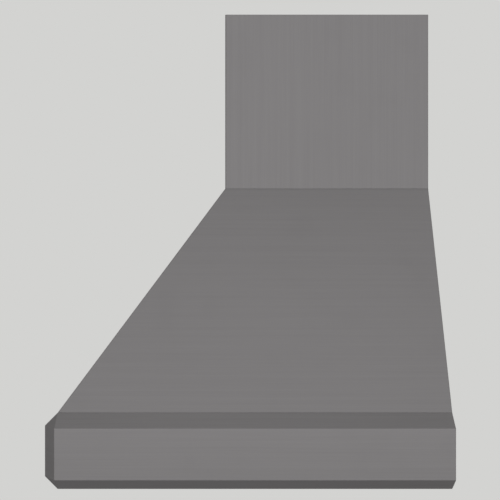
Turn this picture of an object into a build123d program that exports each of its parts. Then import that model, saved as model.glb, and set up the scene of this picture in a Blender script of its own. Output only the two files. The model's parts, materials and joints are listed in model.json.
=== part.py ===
from build123d import *
import math
import os

# Wall-mounted range hood with a bevelled band, a sloped canopy and a duct cover.
# Millimetres, +Z up. The origin is on the wall plane Y = 0, mid-width, level with the bottom rim.
# The hood stands out from the wall towards -Y and X runs across it.

# Outer form
hood_width = 762.0
hood_depth = 610.0
edge_bevel = 19.0
band_height = 76.0
canopy_rise = 348.0
cover_width = 444.0
cover_depth = 345.0
cover_height = 296.0

# Sheet metal and clearances
sheet = 1.2
fit = 0.2
running_gap = 0.06
press_gap = 0.02
thread_gap = 0.05
lip_width = 22.0
top_flange = 14.0
return_flange = 16.0
bend_radius = 2.4

# Wall mounting
stud_spacing = 406.4
mount_low = 150.0
mount_rise = 180.0
mount_hole_radius = 4.0
strap_height = 40.0
strap_thickness = 2.0
strap_overrun = 16.0

# Duct cover fixings
clip_length = 40.0
clip_leg = 11.0
clip_rise = 22.0
bracket_sheet = 1.5
bracket_height = 30.0
bracket_drop = 18.0
bracket_tab = 40.0
bracket_hole_spacing = 240.0
bracket_hole_radius = 3.0
bracket_pad_radius = 12.0

# Front panel and liner
panel_run = 150.0
riser_height = 26.0
foot_width = 15.0
stop_lip = 10.0
stop_gap = 0.3
liner_above = 18.0
channel_flange = 14.0
divider_half = 8.0
divider_drop = 2.5

# Filters
hinge_setback = 84.0
hinge_height = 46.0
filter_slope = 8.5
filter_thickness = 20.0
filter_tail = 40.0
filter_sheet = 1.0
filter_border = 16.0
filter_side_gap = 1.5
swing_gap = 1.5
pin_radius = 4.0
pin_overrun = 1.2
baffle_width = 24.0
baffle_pitch = 33.0
baffle_leg = 10.0
baffle_sheet = 0.8
drain_length = 14.0
drain_height = 4.0
catch_width = 24.0
catch_height = 14.0
catch_sheet = 0.6
catch_gap = 0.3
catch_offset = 90.0

# Filter handles
handle_width = 84.0
handle_drop = 34.0
handle_rod = 2.8
handle_bend = 9.0
handle_pin = 2.0
handle_pin_overrun = 0.6
ear_sheet = 2.0
ear_drop = 7.0
ear_radius = 4.5

# Grease tray
tray_floor = 6.0
tray_rim_gap = 3.0
tray_back_gap = 1.5
tray_front_gap = 9.0
tray_end_gap = 8.0
tray_corner = 8.0
tray_lip = 3.0
leaf_width = 24.0
leaf_sheet = 0.8
leaf_gap = 0.3
leaf_end = 2.0
leaf_foot = 0.6
leaf_inset = 136.0

# Lamps
lamp_spacing = 420.0
lamp_radius = 31.0
lamp_depth = 40.0
lamp_sheet = 1.0
lamp_crown = 6.0
lamp_cable_radius = 4.0
trim_overlap = 6.0
trim_height = 2.5
trim_edge = 1.2
spigot_height = 9.0
spigot_wall = 2.1
ledge_width = 2.5
ledge_depth = 1.0
lens_thickness = 3.0
lens_dome = 1.2
module_gap = 6.0
module_height = 8.0
emitter_radius = 14.0
emitter_height = 2.0

# Controls
knob_spacing = 130.0
knob_radius = 20.0
knob_height = 24.0
knob_gap = 1.0
skirt_height = 4.0
skirt_step = 3.5
knob_taper = 0.8
knob_edge = 1.5
knob_cap = 5.0
flute_count = 20
flute_radius = 1.6
flute_depth = 1.0
flute_margin = 1.0
pointer_width = 1.6
pointer_depth = 0.9
pointer_start = 4.0
shaft_radius = 3.0
shaft_depth = 12.0
shaft_end_gap = 0.5
bush_radius = 4.75
bush_overrun = 0.6
switch_size = 36.0
switch_height = 20.0
switch_corner = 4.0
tag_width = 4.8
tag_length = 6.0
tag_sheet = 0.8
tag_pitch = 10.8
tag_level = 8.0
nut_height = 2.8
nut_across = 12.0
nut_gap = 2.0
driver_length = 60.0
driver_width = 42.0
driver_height = 26.0
driver_corner = 3.0

# Blower
wheel_radius = 105.0
wheel_width = 118.0
wheel_side_gap = 10.0
wheel_ring = 2.0
blade_count = 40
blade_depth = 18.0
blade_sheet = 0.8
blade_sweep = 12.0
blade_bow = 0.55
blade_lag = 0.22
blade_edge = 0.6
disc_sheet = 1.5
disc_offset = 16.5
hub_radius = 14.0
hub_front = 16.0
hub_back = 6.0
cutoff_gap = 8.0
scroll_step = 17.0
scroll_sheet = 1.0
scroll_rim = 8.0
outlet_width = 140.0
outlet_rise = 160.0
inlet_gap = 3.0
inlet_curl = 8.0
inlet_flange = 8.0
motor_radius = 54.0
motor_length = 88.0
motor_gap = 6.0
motor_bell = 9.0
motor_nose = 30.0
motor_slot_count = 10
motor_slot_length = 16.0
motor_slot_width = 4.0
motor_slot_inset = 1.6
motor_bore = 50.0
motor_shaft_radius = 6.0
shaft_tail_gap = 2.0
shaft_nose = 4.0
spider_arm = 16.0
spider_sheet = 2.0
spider_lift = 3.0
spider_band = 14.0
spider_foot = 15.0
spider_screw_length = 11.0
capacitor_radius = 19.0
capacitor_length = 70.0
capacitor_gap = 12.0
capacitor_cap = 4.0
capacitor_shoulder = 6.0
capacitor_tag = 8.0
capacitor_tag_spacing = 12.0
strap_width = 18.0
strap_foot = 10.0

# Outlet, collar and damper
flange_width = 18.0
flange_sheet = 1.5
gasket_thickness = 2.0
collar_radius = 100.5
collar_height = 62.0
collar_edge = 6.0
bolt_radius = 2.5
bolt_head_radius = 4.6
bolt_head_height = 3.5
bolt_nut_height = 4.0
bolt_overrun = 2.0
bolt_clear = 2.0
rod_radius = 2.5
damper_height = 34.0
damper_sheet = 0.8
damper_gap = 2.2
knuckle_radius = 3.8
knuckle_count = 6
knuckle_gap = 0.5
knuckle_inset = 8.0
knuckle_clear = 0.6
stop_length = 7.0
stop_width = 12.0
stop_sheet = 1.2
stop_leg = 10.0
flap_seat_gap = 0.3

# Supply box
box_width = 90.0
box_depth = 60.0
box_height = 44.0
box_gap = 8.0
box_tab = 10.0
box_tab_width = 14.0
box_screw_radius = 1.6
box_screw_head = 3.2
box_screw_head_height = 2.0
box_screw_length = 6.0
knockout_radius = 11.1

# Levels and limits that follow from the sizes above
band_top = edge_bevel + band_height
canopy_base = band_top + edge_bevel
canopy_top = canopy_base + canopy_rise
cover_top = canopy_top + cover_height
side_lean = math.atan2(hood_width / 2 - edge_bevel - cover_width / 2, canopy_rise)
front_lean = math.atan2(hood_depth - edge_bevel - cover_depth, canopy_rise)
rim_half = hood_width / 2 - edge_bevel - lip_width
rim_front = hood_depth - edge_bevel - lip_width
plate_under = canopy_top - 2 * sheet
plate_over = canopy_top - sheet
slope = math.radians(filter_slope)
half_thick = filter_thickness / 2
flange_face = rim_front - panel_run
swing_reach = flange_face - hinge_setback - swing_gap
filter_reach = math.sqrt(swing_reach ** 2 - half_thick ** 2)
filter_width = rim_half - divider_half - 2 * filter_side_gap
filter_centre = (rim_half + divider_half) / 2
tail_reach = math.hypot(filter_tail, half_thick)
rear_leg = hinge_setback - tail_reach - swing_gap
channel_top = hinge_height + half_thick + liner_above
front_rise = filter_reach * math.sin(slope)
thick_rise = half_thick * math.cos(slope)
panel_rear_height = hinge_height + front_rise - thick_rise
stop_height = hinge_height + front_rise + thick_rise + stop_gap
panel_slope = math.degrees(math.atan2(panel_rear_height - riser_height, panel_run))
panel_middle = math.hypot(panel_run, panel_rear_height - riser_height) / 2
tail_height = hinge_height - filter_tail * math.sin(slope) - thick_rise
tray_rim = tail_height - tray_rim_gap
tray_back = lip_width + tray_back_gap
tray_front = hinge_setback - tray_front_gap
tray_half = rim_half - tray_end_gap
lens_radius = lamp_radius - lamp_sheet - spigot_wall - 2 * fit
trim_radius = lamp_radius + trim_overlap
module_radius = lamp_radius - lamp_sheet - module_gap
grip_radius = knob_radius - skirt_step
shaft_end = -knob_gap - knob_height + knob_cap + shaft_end_gap
inlet_radius = wheel_radius - blade_depth - inlet_gap
scroll_width = wheel_width + 2 * wheel_side_gap
scroll_half = scroll_step / 2
scroll_left = -scroll_half - (wheel_radius + cutoff_gap + scroll_half + 2 * scroll_step)
wheel_x = -(scroll_left + outlet_width / 2)
wheel_y = -cover_depth / 2
wheel_level = plate_under - outlet_rise
plate_face = scroll_width / 2 + scroll_sheet
spider_reach = inlet_radius + inlet_curl + inlet_flange + spider_foot / 2 + fit
spider_face = plate_face + spider_lift
motor_front = disc_offset - hub_back - motor_gap
collar_bore = collar_radius - sheet
flap_radius = collar_bore - damper_gap
stop_seat = math.sqrt(collar_bore ** 2 - (stop_width / 2) ** 2) - fit / 2
outlet_half_x = outlet_width / 2 + scroll_rim + fit
outlet_half_y = plate_face + fit
bolt_corner = math.hypot(outlet_half_x + flange_width / 2, outlet_half_y + flange_width / 2)
bolt_spread = max(1.0, (collar_radius + bolt_head_radius + bolt_clear) / bolt_corner)
bolt_x = (outlet_half_x + flange_width / 2) * bolt_spread
bolt_y = (outlet_half_y + flange_width / 2) * bolt_spread
collar_flange_radius = bolt_corner * bolt_spread + bolt_head_radius + collar_edge
supply_x = bolt_x + flange_width / 2 + box_gap + box_width / 2
supply_y = wheel_y + plate_face + box_gap + box_depth / 2
box_low = plate_under - box_height
box_screw_reach = box_width / 2 - sheet - box_tab / 2
capacitor_x = -(bolt_x + flange_width / 2 + capacitor_gap + capacitor_radius)
capacitor_z = plate_under - sheet - capacitor_radius

hinge_place = Pos(0, -hinge_setback, hinge_height) * Rot(-filter_slope, 0, 0)
panel_place = Pos(0, -rim_front, riser_height) * Rot(panel_slope, 0, 0)
blower_place = Pos(wheel_x, wheel_y, wheel_level) * Rot(90, 0, 0)
handle_pivot = hinge_place * Pos(filter_centre, -filter_reach + filter_border / 2, -half_thick - ear_drop)

# How far cutting shapes run past what they cut
past = 10.0


def slab(x0, x1, y0, y1, z0, z1):
    """A box between two corners."""
    middle = Pos((x0 + x1) / 2, (y0 + y1) / 2, (z0 + z1) / 2)
    return middle * Box(x1 - x0, y1 - y0, z1 - z0)


def post(x, y, z0, z1, radius):
    """An upright round bar."""
    return Pos(x, y, (z0 + z1) / 2) * Cylinder(radius, z1 - z0)


def across(radius, x0, x1, y=0.0, z=0.0):
    """A round bar along X."""
    return Pos((x0 + x1) / 2, y, z) * Rot(0, 90, 0) * Cylinder(radius, x1 - x0)


def along(radius, y0, y1, x=0.0, z=0.0):
    """A round bar along Y."""
    return Pos(x, (y0 + y1) / 2, z) * Rot(90, 0, 0) * Cylinder(radius, y1 - y0)


def folded(points, thickness):
    """Closed outline of a sheet folded along points, with its thickness to the left of the way they run."""
    ways = []
    for first, second in zip(points, points[1:]):
        length = math.hypot(second[0] - first[0], second[1] - first[1])
        ways.append(((second[0] - first[0]) / length, (second[1] - first[1]) / length))
    shifted = []
    for index, point in enumerate(points):
        before = ways[max(index - 1, 0)]
        after = ways[min(index, len(ways) - 1)]
        bisector = (-(before[1] + after[1]), before[0] + after[0])
        scale_by = 2 * thickness / (bisector[0] ** 2 + bisector[1] ** 2)
        shifted.append((point[0] + bisector[0] * scale_by, point[1] + bisector[1] * scale_by))
    return Polygon(*points, *reversed(shifted), align=None)


def sheet_across(points, thickness, half_length):
    """A folded sheet whose profile lies in the YZ plane and runs along X both ways."""
    return extrude(Plane.YZ * folded(points, thickness), half_length, both=True)


def turned(points):
    """A solid turned about Z from a profile of radius and height."""
    return revolve(Plane.XZ * Polygon(*points, align=None), Axis.Z)


def ring(outer, inner, z0, z1):
    """A round ring or tube."""
    return post(0, 0, z0, z1, outer) - post(0, 0, z0 - past, z1 + past, inner)


def mirrored(shape):
    """The same piece on the other side of the hood."""
    return mirror(shape, about=Plane.YZ)


# Outer shell


def canopy_half(level, inset):
    """Half the canopy's width at a level, its walls moved in by inset."""
    half_base = hood_width / 2 - edge_bevel - inset / math.cos(side_lean)
    return half_base - (level - canopy_base) * math.tan(side_lean)


def canopy_reach(level, inset):
    """How far the canopy's front wall stands from the wall plane at a level."""
    reach_base = hood_depth - edge_bevel - inset / math.cos(front_lean)
    return reach_base - (level - canopy_base) * math.tan(front_lean)


def canopy_form(inset, low, high, back):
    """The canopy's pyramid with its three walls moved in by inset."""
    sections = []
    for level in (low, high):
        half = canopy_half(level, inset)
        reach = canopy_reach(level, inset)
        sections.append(Pos(0, (back - reach) / 2, level) * Rectangle(2 * half, reach + back))
    return loft(sections, ruled=True)


def band_form(inset, back):
    """The band's bevelled box with its faces moved in by inset."""
    half = hood_width / 2 - inset
    bevel = edge_bevel - inset * (2 - math.sqrt(2))
    block = slab(-half, half, -hood_depth + inset, back, inset, canopy_base - inset)
    free_edges = [edge for edge in block.edges() if edge.center().Y < back - past]
    return chamfer(free_edges, bevel)


def band_mouth(inset):
    """The opening from the band up into the canopy."""
    shift = edge_bevel + inset * math.sqrt(2)
    half = hood_width / 2 - shift
    return slab(-half, half, -hood_depth + shift, past, canopy_base / 2, canopy_base + sheet / 2)


def make_band():
    """The lower band: three bevelled sides with an inward lip, open at the back, the top and the middle."""
    shell = band_form(0, 0) - band_form(sheet, past) - band_mouth(sheet)
    return shell - slab(-rim_half, rim_half, -rim_front, past, -past, 2 * sheet)


def make_canopy():
    """The sloped canopy with its inward top flange, as one shell to be parted into panels."""
    inside = canopy_form(sheet, canopy_base - past, canopy_top - sheet, past)
    shell = canopy_form(0, canopy_base, canopy_top, 0) - inside
    half = cover_width / 2 - top_flange
    front = -cover_depth + top_flange
    return shell - slab(-half, half, front, past, canopy_top - 3 * sheet, canopy_top + past)


def canopy_wedge():
    """The space in front of the two mitre planes, where the canopy's front panel lies."""
    inward = cover_width / 4
    sections = []
    for level in (canopy_base - past, canopy_top + past):
        half = canopy_half(level, 0)
        front = canopy_reach(level, 0)
        outer = (half + edge_bevel, -front - edge_bevel)
        inner = (half - inward, -front + inward)
        outline = Polygon(outer, inner, (-inner[0], inner[1]), (-outer[0], outer[1]), align=None)
        sections.append(Pos(0, 0, level) * outline)
    return loft(sections, ruled=True)


def make_back():
    """The back panel, set inside the shell, with the rim's rear lip and the wall-screw holes."""
    inset = sheet + fit
    inside = band_form(inset, past) + band_mouth(inset)
    inside += canopy_form(inset, canopy_base, plate_over - fit, past)
    panel = inside & slab(-hood_width, hood_width, -sheet, 0, 0, canopy_top)
    half = rim_half - fit
    panel += slab(-half, half, -sheet, 0, 0, 3 * sheet)
    panel += slab(-half, half, -lip_width, 0, 0, sheet)
    return panel - wall_holes()


def wall_holes():
    """The four wall-screw holes, at the usual spacing of studs."""
    bars = []
    for x in (-stud_spacing / 2, stud_spacing / 2):
        for z in (mount_low, mount_low + mount_rise):
            bars.append(along(mount_hole_radius, -past, past, x, z))
    return bars


def make_straps():
    """Two flat straps behind which the wall screws pull."""
    half = stud_spacing / 2 + strap_overrun
    front = -sheet - strap_thickness
    straps = Part()
    for z in (mount_low, mount_low + mount_rise):
        straps += slab(-half, half, front, -sheet, z - strap_height / 2, z + strap_height / 2)
    return straps - wall_holes()


def make_top_plate():
    """The plate under the duct cover, with the duct opening, the supply knock-out and the bolt holes."""
    half = canopy_half(plate_over, sheet + fit)
    reach = canopy_reach(plate_over, sheet + fit)
    plate = slab(-half, half, -reach, -sheet - fit, plate_under, plate_over)
    plate -= post(0, wheel_y, plate_under - past, plate_over + past, collar_bore)
    plate -= post(supply_x, supply_y, plate_under - past, plate_over + past, knockout_radius)
    return plate - bolt_holes()


def make_cover():
    """The duct cover: a front and two sides folded from one sheet, with return flanges at the wall."""
    outer = Pos(0, -cover_depth / 2) * Rectangle(cover_width, cover_depth)
    outer = fillet(outer.vertices().group_by(Axis.Y)[0], bend_radius)
    inside_depth = cover_depth - 2 * sheet
    inner = Pos(0, -cover_depth / 2) * Rectangle(cover_width - 2 * sheet, inside_depth)
    inner = fillet(inner.vertices().group_by(Axis.Y)[0], bend_radius - sheet)
    gap = Rectangle(cover_width - 2 * sheet - 2 * return_flange, 4 * sheet)
    return Pos(0, 0, canopy_top) * extrude(outer - inner - gap, cover_height)


def make_clips():
    """Two angle clips on the canopy's top flange that locate the duct cover's sides."""
    wall = cover_width / 2 - sheet - fit
    front = -cover_depth / 2 - clip_length / 2
    back = -cover_depth / 2 + clip_length / 2
    foot = slab(wall - clip_leg, wall, front, back, canopy_top, canopy_top + sheet)
    leg = slab(wall - sheet, wall, front, back, canopy_top, canopy_top + clip_rise)
    clip = foot + leg
    return clip + mirrored(clip)


def make_bracket():
    """The wall bracket at the duct cover's top, on two pads that bring it in front of the return flanges."""
    wall = cover_width / 2 - sheet - fit
    low = cover_top - bracket_drop - bracket_height
    high = cover_top - bracket_drop
    front = -sheet - fit - bracket_sheet
    bracket = slab(-wall, wall, front, -sheet - fit, low, high)
    for side in (-1, 1):
        edges = sorted((side * wall, side * (wall - bracket_sheet)))
        bracket += slab(edges[0], edges[1], front - bracket_tab, front + bracket_sheet / 2, low, high)
        x = side * bracket_hole_spacing / 2
        bracket += along(bracket_pad_radius, front, 0, x, (low + high) / 2)
    for side in (-1, 1):
        x = side * bracket_hole_spacing / 2
        bracket -= along(bracket_hole_radius, front - past, past, x, (low + high) / 2)
    return bracket


# Liner


def make_control_panel():
    """The front panel: a foot on the lip, a riser, the slanted face, a rear flange and the filters' stop."""
    points = [
        (-rim_front - foot_width, sheet),
        (-rim_front, sheet),
        (-rim_front, riser_height),
        (-flange_face, panel_rear_height),
        (-flange_face, stop_height),
        (-flange_face + stop_lip, stop_height),
    ]
    panel = sheet_across(points, sheet, rim_half - fit)
    holes = []
    for side in (-1, 1):
        holes.append(lamp_at(side) * Cylinder(lamp_radius + fit, 2 * past))
        holes.append(knob_at(side) * Cylinder(bush_radius + fit, 2 * past))
    return panel - holes


def make_liner():
    """The right liner wall: a foot on the lip and a wall that follows the filters' slope."""
    front_height = stop_height + 2 * sheet
    outline = Polygon(
        (-rim_front, sheet),
        (-sheet, sheet),
        (-sheet, channel_top),
        (-hinge_setback, channel_top),
        (-flange_face, front_height),
        (-rim_front, front_height),
        align=None,
    )
    wall = Pos(rim_half, 0, 0) * extrude(Plane.YZ * outline, sheet)
    foot = slab(rim_half, rim_half + foot_width, -rim_front, -sheet, sheet, 2 * sheet)
    hole = across(pin_radius + running_gap, rim_half - past, rim_half + past, -hinge_setback, hinge_height)
    return wall + foot - hole


def make_divider():
    """The channel between the two filters, with the holes for their inner pins."""
    profile = [
        (-divider_half, half_thick - divider_drop),
        (-divider_half, -half_thick),
        (divider_half, -half_thick),
        (divider_half, half_thick - divider_drop),
    ]
    bar = extrude(Plane.XZ * folded(profile, sheet), filter_reach + 3 * filter_tail)
    bar = hinge_place * Pos(0, 2 * filter_tail, 0) * bar
    bar &= slab(-2 * divider_half, 2 * divider_half, -flange_face, -rear_leg, 0, canopy_top)
    reach = divider_half + past
    return bar - across(pin_radius + running_gap, -reach, reach, -hinge_setback, hinge_height)


def make_rear_channel():
    """The folded channel between the filters' low edge and the back panel."""
    points = [
        (-rear_leg, tail_height),
        (-rear_leg, channel_top),
        (-2 * sheet - fit, channel_top),
        (-2 * sheet - fit, channel_top + channel_flange),
    ]
    return sheet_across(points, -sheet, rim_half - fit)


def make_catches():
    """Spring catches on the front panel's flange, whose bowed leaves meet the filters' front edges."""
    level = panel_rear_height + half_thick
    swept = math.sqrt(swing_reach ** 2 - (level - hinge_height) ** 2)
    reach = flange_face - hinge_setback - swept - catch_gap
    half = catch_height / 2
    skin = catch_sheet
    bow = ThreePointArc((0, -half), (reach, 0), (0, half))
    leaf = extrude(Plane.YZ * make_face([bow, Line((0, half), (0, -half))]), catch_width / 2, both=True)
    inner_bow = ThreePointArc((-skin, -half + skin), (reach - skin, 0), (-skin, half - skin))
    hollow_face = make_face([inner_bow, Line((-skin, half - skin), (-skin, -half + skin))])
    leaf -= extrude(Plane.YZ * hollow_face, catch_width, both=True)
    catches = Part()
    for centre in (-filter_centre, filter_centre):
        for side in (-1, 1):
            catches += Pos(centre + side * catch_offset, -flange_face, level) * leaf
    return catches


# Filters, built at the hinge and then sloped


def baffle_places(upper):
    """Where one row's baffles lie across a filter. The upper row has one more, over the lower row's gaps."""
    inner_width = filter_width - 2 * filter_sheet
    count = int((inner_width - baffle_width) / baffle_pitch) + 1
    if not upper:
        count -= 1
    return [(index - (count - 1) / 2) * baffle_pitch for index in range(count)]


def make_filter_frame():
    """The right filter's frame: four channels with drain slots, two pivot pins and the ears of its handle."""
    half = filter_width / 2
    skin = filter_sheet
    edge = filter_border
    frame = slab(-half, half, -filter_reach, filter_tail, -half_thick, half_thick)
    frame -= slab(
        -half + skin, half - skin,
        -filter_reach + skin, filter_tail - skin,
        -half_thick + skin, half_thick - skin,
    )
    frame -= slab(
        -half + edge, half - edge,
        -filter_reach + edge, filter_tail - edge,
        -filter_thickness, filter_thickness,
    )
    drain_low = -half_thick + skin
    for x in baffle_places(False):
        frame -= slab(
            x - drain_length / 2, x + drain_length / 2,
            filter_tail - 2 * skin, filter_tail + past,
            drain_low, drain_low + drain_height,
        )
    pin_end = half + filter_side_gap + sheet + pin_overrun
    for side in (-1, 1):
        ends = sorted((side * (half - skin / 2), side * pin_end))
        frame += across(pin_radius, ends[0], ends[1])
        frame += make_ear(side)
    return hinge_place * Pos(filter_centre, 0, 0) * frame


def make_ear(side):
    """One ear under the filter's front bar, with the hole for the handle's pin."""
    y = -filter_reach + filter_border / 2
    z = -half_thick - ear_drop
    inner = side * (handle_width / 2 + handle_rod + fit)
    outer = inner + side * ear_sheet
    ends = sorted((inner, outer))
    ear = across(ear_radius, ends[0], ends[1], y, z)
    ear += slab(ends[0], ends[1], y - ear_radius, y + ear_radius, z, -half_thick + filter_sheet / 2)
    return ear - across(handle_pin + running_gap, ends[0] - past, ends[1] + past, y, z)


def make_baffles():
    """The right filter's baffles: two rows of channels that run front to back, the upper row turned over."""
    length = filter_reach + filter_tail - 2 * filter_sheet - 2 * fit
    start = filter_tail - filter_sheet - fit
    level = half_thick - filter_sheet
    half = baffle_width / 2
    profile = [(-half, baffle_leg), (-half, 0), (half, 0), (half, baffle_leg)]
    channel = extrude(Plane.XZ * folded(profile, baffle_sheet), length)
    rows = Part()
    rows += [Pos(x, start, -level) * channel for x in baffle_places(False)]
    rows += [Pos(x, start, level) * Rot(0, 180, 0) * channel for x in baffle_places(True)]
    return hinge_place * Pos(filter_centre, 0, 0) * rows


def make_handle():
    """The right filter's folding handle, hanging straight down from its pins."""
    half = handle_width / 2
    path = FilletPolyline((-half, 0, 0), (-half, 0, -handle_drop), (half, 0, -handle_drop), (half, 0, 0),
                          radius=handle_bend)
    section = Plane((-half, 0, 0), x_dir=(1, 0, 0), z_dir=(0, 0, -1)) * Circle(handle_rod)
    bail = sweep(section, path)
    for side in (-1, 1):
        bail += Pos(side * half, 0, 0) * Sphere(handle_rod)
        pin_end = half + handle_rod + fit + ear_sheet + handle_pin_overrun
        ends = sorted((side * half, side * pin_end))
        bail += across(handle_pin, ends[0], ends[1])
    return Pos(handle_pivot.position) * bail


# Grease tray


def make_tray():
    """The open trough under the filters' low edge, with an outward rim along its front and ends."""
    skin = sheet
    block = slab(-tray_half, tray_half, -tray_front, -tray_back, tray_floor, tray_rim)
    block = fillet(block.edges().filter_by(Axis.Z), tray_corner)
    wide = tray_half + tray_lip
    rim = slab(-wide, wide, -tray_front - tray_lip, -tray_back, tray_rim - skin, tray_rim)
    rim = fillet(rim.edges().filter_by(Axis.Z), tray_corner)
    hollow = slab(
        -tray_half + skin, tray_half - skin,
        -tray_front + skin, -tray_back - skin,
        tray_floor + skin, tray_rim + past,
    )
    hollow = fillet(hollow.edges().filter_by(Axis.Z), tray_corner - skin)
    return block + rim - hollow


def make_tray_clips():
    """Two sprung leaves on the back panel that meet the tray's rear wall."""
    low = tray_floor + leaf_end
    high = tray_rim - leaf_end
    foot = -sheet - leaf_foot
    reach = tray_back - leaf_gap
    bow = ThreePointArc((foot, low), (-reach + leaf_sheet / 2, (low + high) / 2), (foot, high))
    leaf = extrude(Plane.YZ * trace(bow, leaf_sheet), leaf_width / 2, both=True)
    leaf &= slab(-leaf_width, leaf_width, -reach, -sheet, 0, tray_rim)
    x = rim_half - leaf_inset
    return Pos(-x, 0, 0) * leaf + Pos(x, 0, 0) * leaf


# Lamps, built on the panel's lower face and then slanted


def lamp_at(side):
    """Where a lamp's axis meets the panel's lower face."""
    return panel_place * Pos(side * lamp_spacing / 2, panel_middle, 0)


def make_lamp_housing():
    """The cup above the panel, with a rounded crown and a cable hole."""
    cup = post(0, 0, 0, lamp_depth, lamp_radius)
    cup = fillet(cup.edges().sort_by(Axis.Z)[-1], lamp_crown)
    hollow = post(0, 0, -past, lamp_depth - lamp_sheet, lamp_radius - lamp_sheet)
    hollow = fillet(hollow.edges().sort_by(Axis.Z)[-1], lamp_crown - lamp_sheet)
    return cup - hollow - post(0, 0, lamp_depth - past, lamp_depth + past, lamp_cable_radius)


def make_lamp_trim():
    """The trim ring under the panel, with a spigot in the housing and a ledge for the lens."""
    spigot = lamp_radius - lamp_sheet - fit
    ledge = lens_radius - ledge_width
    seat = lens_radius + fit
    return turned([
        (ledge, -trim_height),
        (trim_radius - trim_edge, -trim_height),
        (trim_radius, -trim_height + trim_edge),
        (trim_radius, 0),
        (spigot, 0),
        (spigot, spigot_height),
        (seat, spigot_height),
        (seat, -ledge_depth),
        (ledge, -ledge_depth),
    ])


def make_lamp_lens():
    """The lens on the trim ring's ledge, its lower face domed within the ring."""
    rim = lens_radius - ledge_width - fit
    base = -ledge_depth
    low = base - lens_dome
    top = base + lens_thickness
    sphere = (rim ** 2 + lens_dome ** 2) / (2 * lens_dome)
    halfway = low + sphere - math.sqrt(sphere ** 2 - (rim / 2) ** 2)
    profile = make_face([
        Line((0, low), (0, top)),
        Line((0, top), (lens_radius, top)),
        Line((lens_radius, top), (lens_radius, base)),
        Line((lens_radius, base), (rim, base)),
        ThreePointArc((rim, base), (rim / 2, halfway), (0, low)),
    ])
    return revolve(Plane.XZ * profile, Axis.Z)


def make_lamp_module():
    """The LED module: a board against the housing's crown and a raised emitter."""
    top = lamp_depth - lamp_sheet
    board = post(0, 0, top - module_height, top, module_radius)
    return board + post(0, 0, top - module_height - emitter_height, top - module_height, emitter_radius)


def make_driver():
    """The lamps' driver box, standing on the panel's upper face between the two switches."""
    case = slab(-driver_length / 2, driver_length / 2, -driver_width / 2, driver_width / 2, 0, driver_height)
    case = fillet(case.edges().filter_by(Axis.Z), driver_corner)
    return panel_place * Pos(0, panel_middle, sheet) * case


# Controls, built on the panel's lower face and then slanted


def knob_at(side):
    """Where a knob's axis meets the panel's lower face."""
    return panel_place * Pos(side * knob_spacing / 2, panel_middle, 0)


def make_knob():
    """A fluted knob with a skirt, a hollow for the nut, a bore for the shaft and a pointer groove."""
    top = -knob_gap
    end = -knob_gap - knob_height
    shoulder = top - skirt_height - skirt_step
    body = turned([
        (0, top),
        (knob_radius, top),
        (knob_radius, top - skirt_height),
        (grip_radius, shoulder),
        (grip_radius - knob_taper, end + knob_edge),
        (grip_radius - knob_taper - knob_edge, end),
        (0, end),
    ])
    body -= post(0, 0, top - nut_height - nut_gap, top + past, nut_across / 2 + nut_gap)
    for place in PolarLocations(grip_radius + flute_radius - flute_depth, flute_count):
        body -= place * post(0, 0, end - past, shoulder - flute_margin, flute_radius)
    body -= post(0, 0, end + knob_cap, top + past, shaft_radius + press_gap)
    half = pointer_width / 2
    return body - slab(-half, half, pointer_start, grip_radius + past, end - past, end + pointer_depth)


def make_shaft():
    """A switch's shaft, from inside the switch to inside the knob."""
    return post(0, 0, shaft_end, sheet + shaft_depth, shaft_radius)


def make_switch():
    """A rotary switch above the panel with three tags and its threaded bush through the panel."""
    half = switch_size / 2
    case = slab(-half, half, -half, half, sheet, sheet + switch_height)
    case = fillet(case.edges().filter_by(Axis.Z), switch_corner)
    low = sheet + tag_level
    end = -half - tag_length
    for x in (-tag_pitch, 0, tag_pitch):
        case += slab(x - tag_width / 2, x + tag_width / 2, end, -half + tag_sheet, low, low + tag_sheet)
    case += post(0, 0, -nut_height - bush_overrun, sheet + bush_overrun, bush_radius)
    bore_end = sheet + shaft_depth + shaft_end_gap
    return case - post(0, 0, -nut_height - past, bore_end, shaft_radius + running_gap)


def make_nut():
    """The hexagon nut on a switch's bush."""
    hexagon = extrude(RegularPolygon(nut_across / math.sqrt(3), 6), nut_height)
    return Pos(0, 0, -nut_height) * hexagon - post(0, 0, -nut_height - past, past, bush_radius + thread_gap)


# Blower, built about its own axis and then laid along Y, local Z towards the front


def scroll_face(outset):
    """The scroll's outline: three quarter arcs whose radius grows by a step each, and the straight outlet."""
    half = scroll_half
    first = wheel_radius + cutoff_gap + half + outset
    second = first + scroll_step
    third = second + scroll_step
    left = -half - third
    right = scroll_left + outlet_width + outset
    tongue_angle = math.degrees(math.acos((right - half) / first))
    tongue_height = -half + math.sqrt(first ** 2 - (right - half) ** 2)
    return make_face([
        CenterArc((half, -half), first, 0, tongue_angle),
        CenterArc((-half, -half), second, 270, 90),
        CenterArc((-half, half), third, 180, 90),
        Line((left, half), (left, outlet_rise)),
        Line((left, outlet_rise), (right, outlet_rise)),
        Line((right, outlet_rise), (right, tongue_height)),
    ])


def make_wrapper():
    """The scroll's rolled wrapper between the two side plates."""
    strip = scroll_face(scroll_sheet) - scroll_face(0)
    return blower_place * extrude(strip, scroll_width / 2, both=True)


def make_side_plate(side):
    """One of the scroll's side plates with its inlet hole."""
    plate = extrude(scroll_face(scroll_rim), scroll_sheet)
    base = scroll_width / 2 if side > 0 else -plate_face
    plate = Pos(0, 0, base) * plate
    plate -= post(0, 0, base - past, base + past, inlet_radius + inlet_curl + fit)
    if side < 0:
        plate -= spider_holes()
    return blower_place * plate


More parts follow.
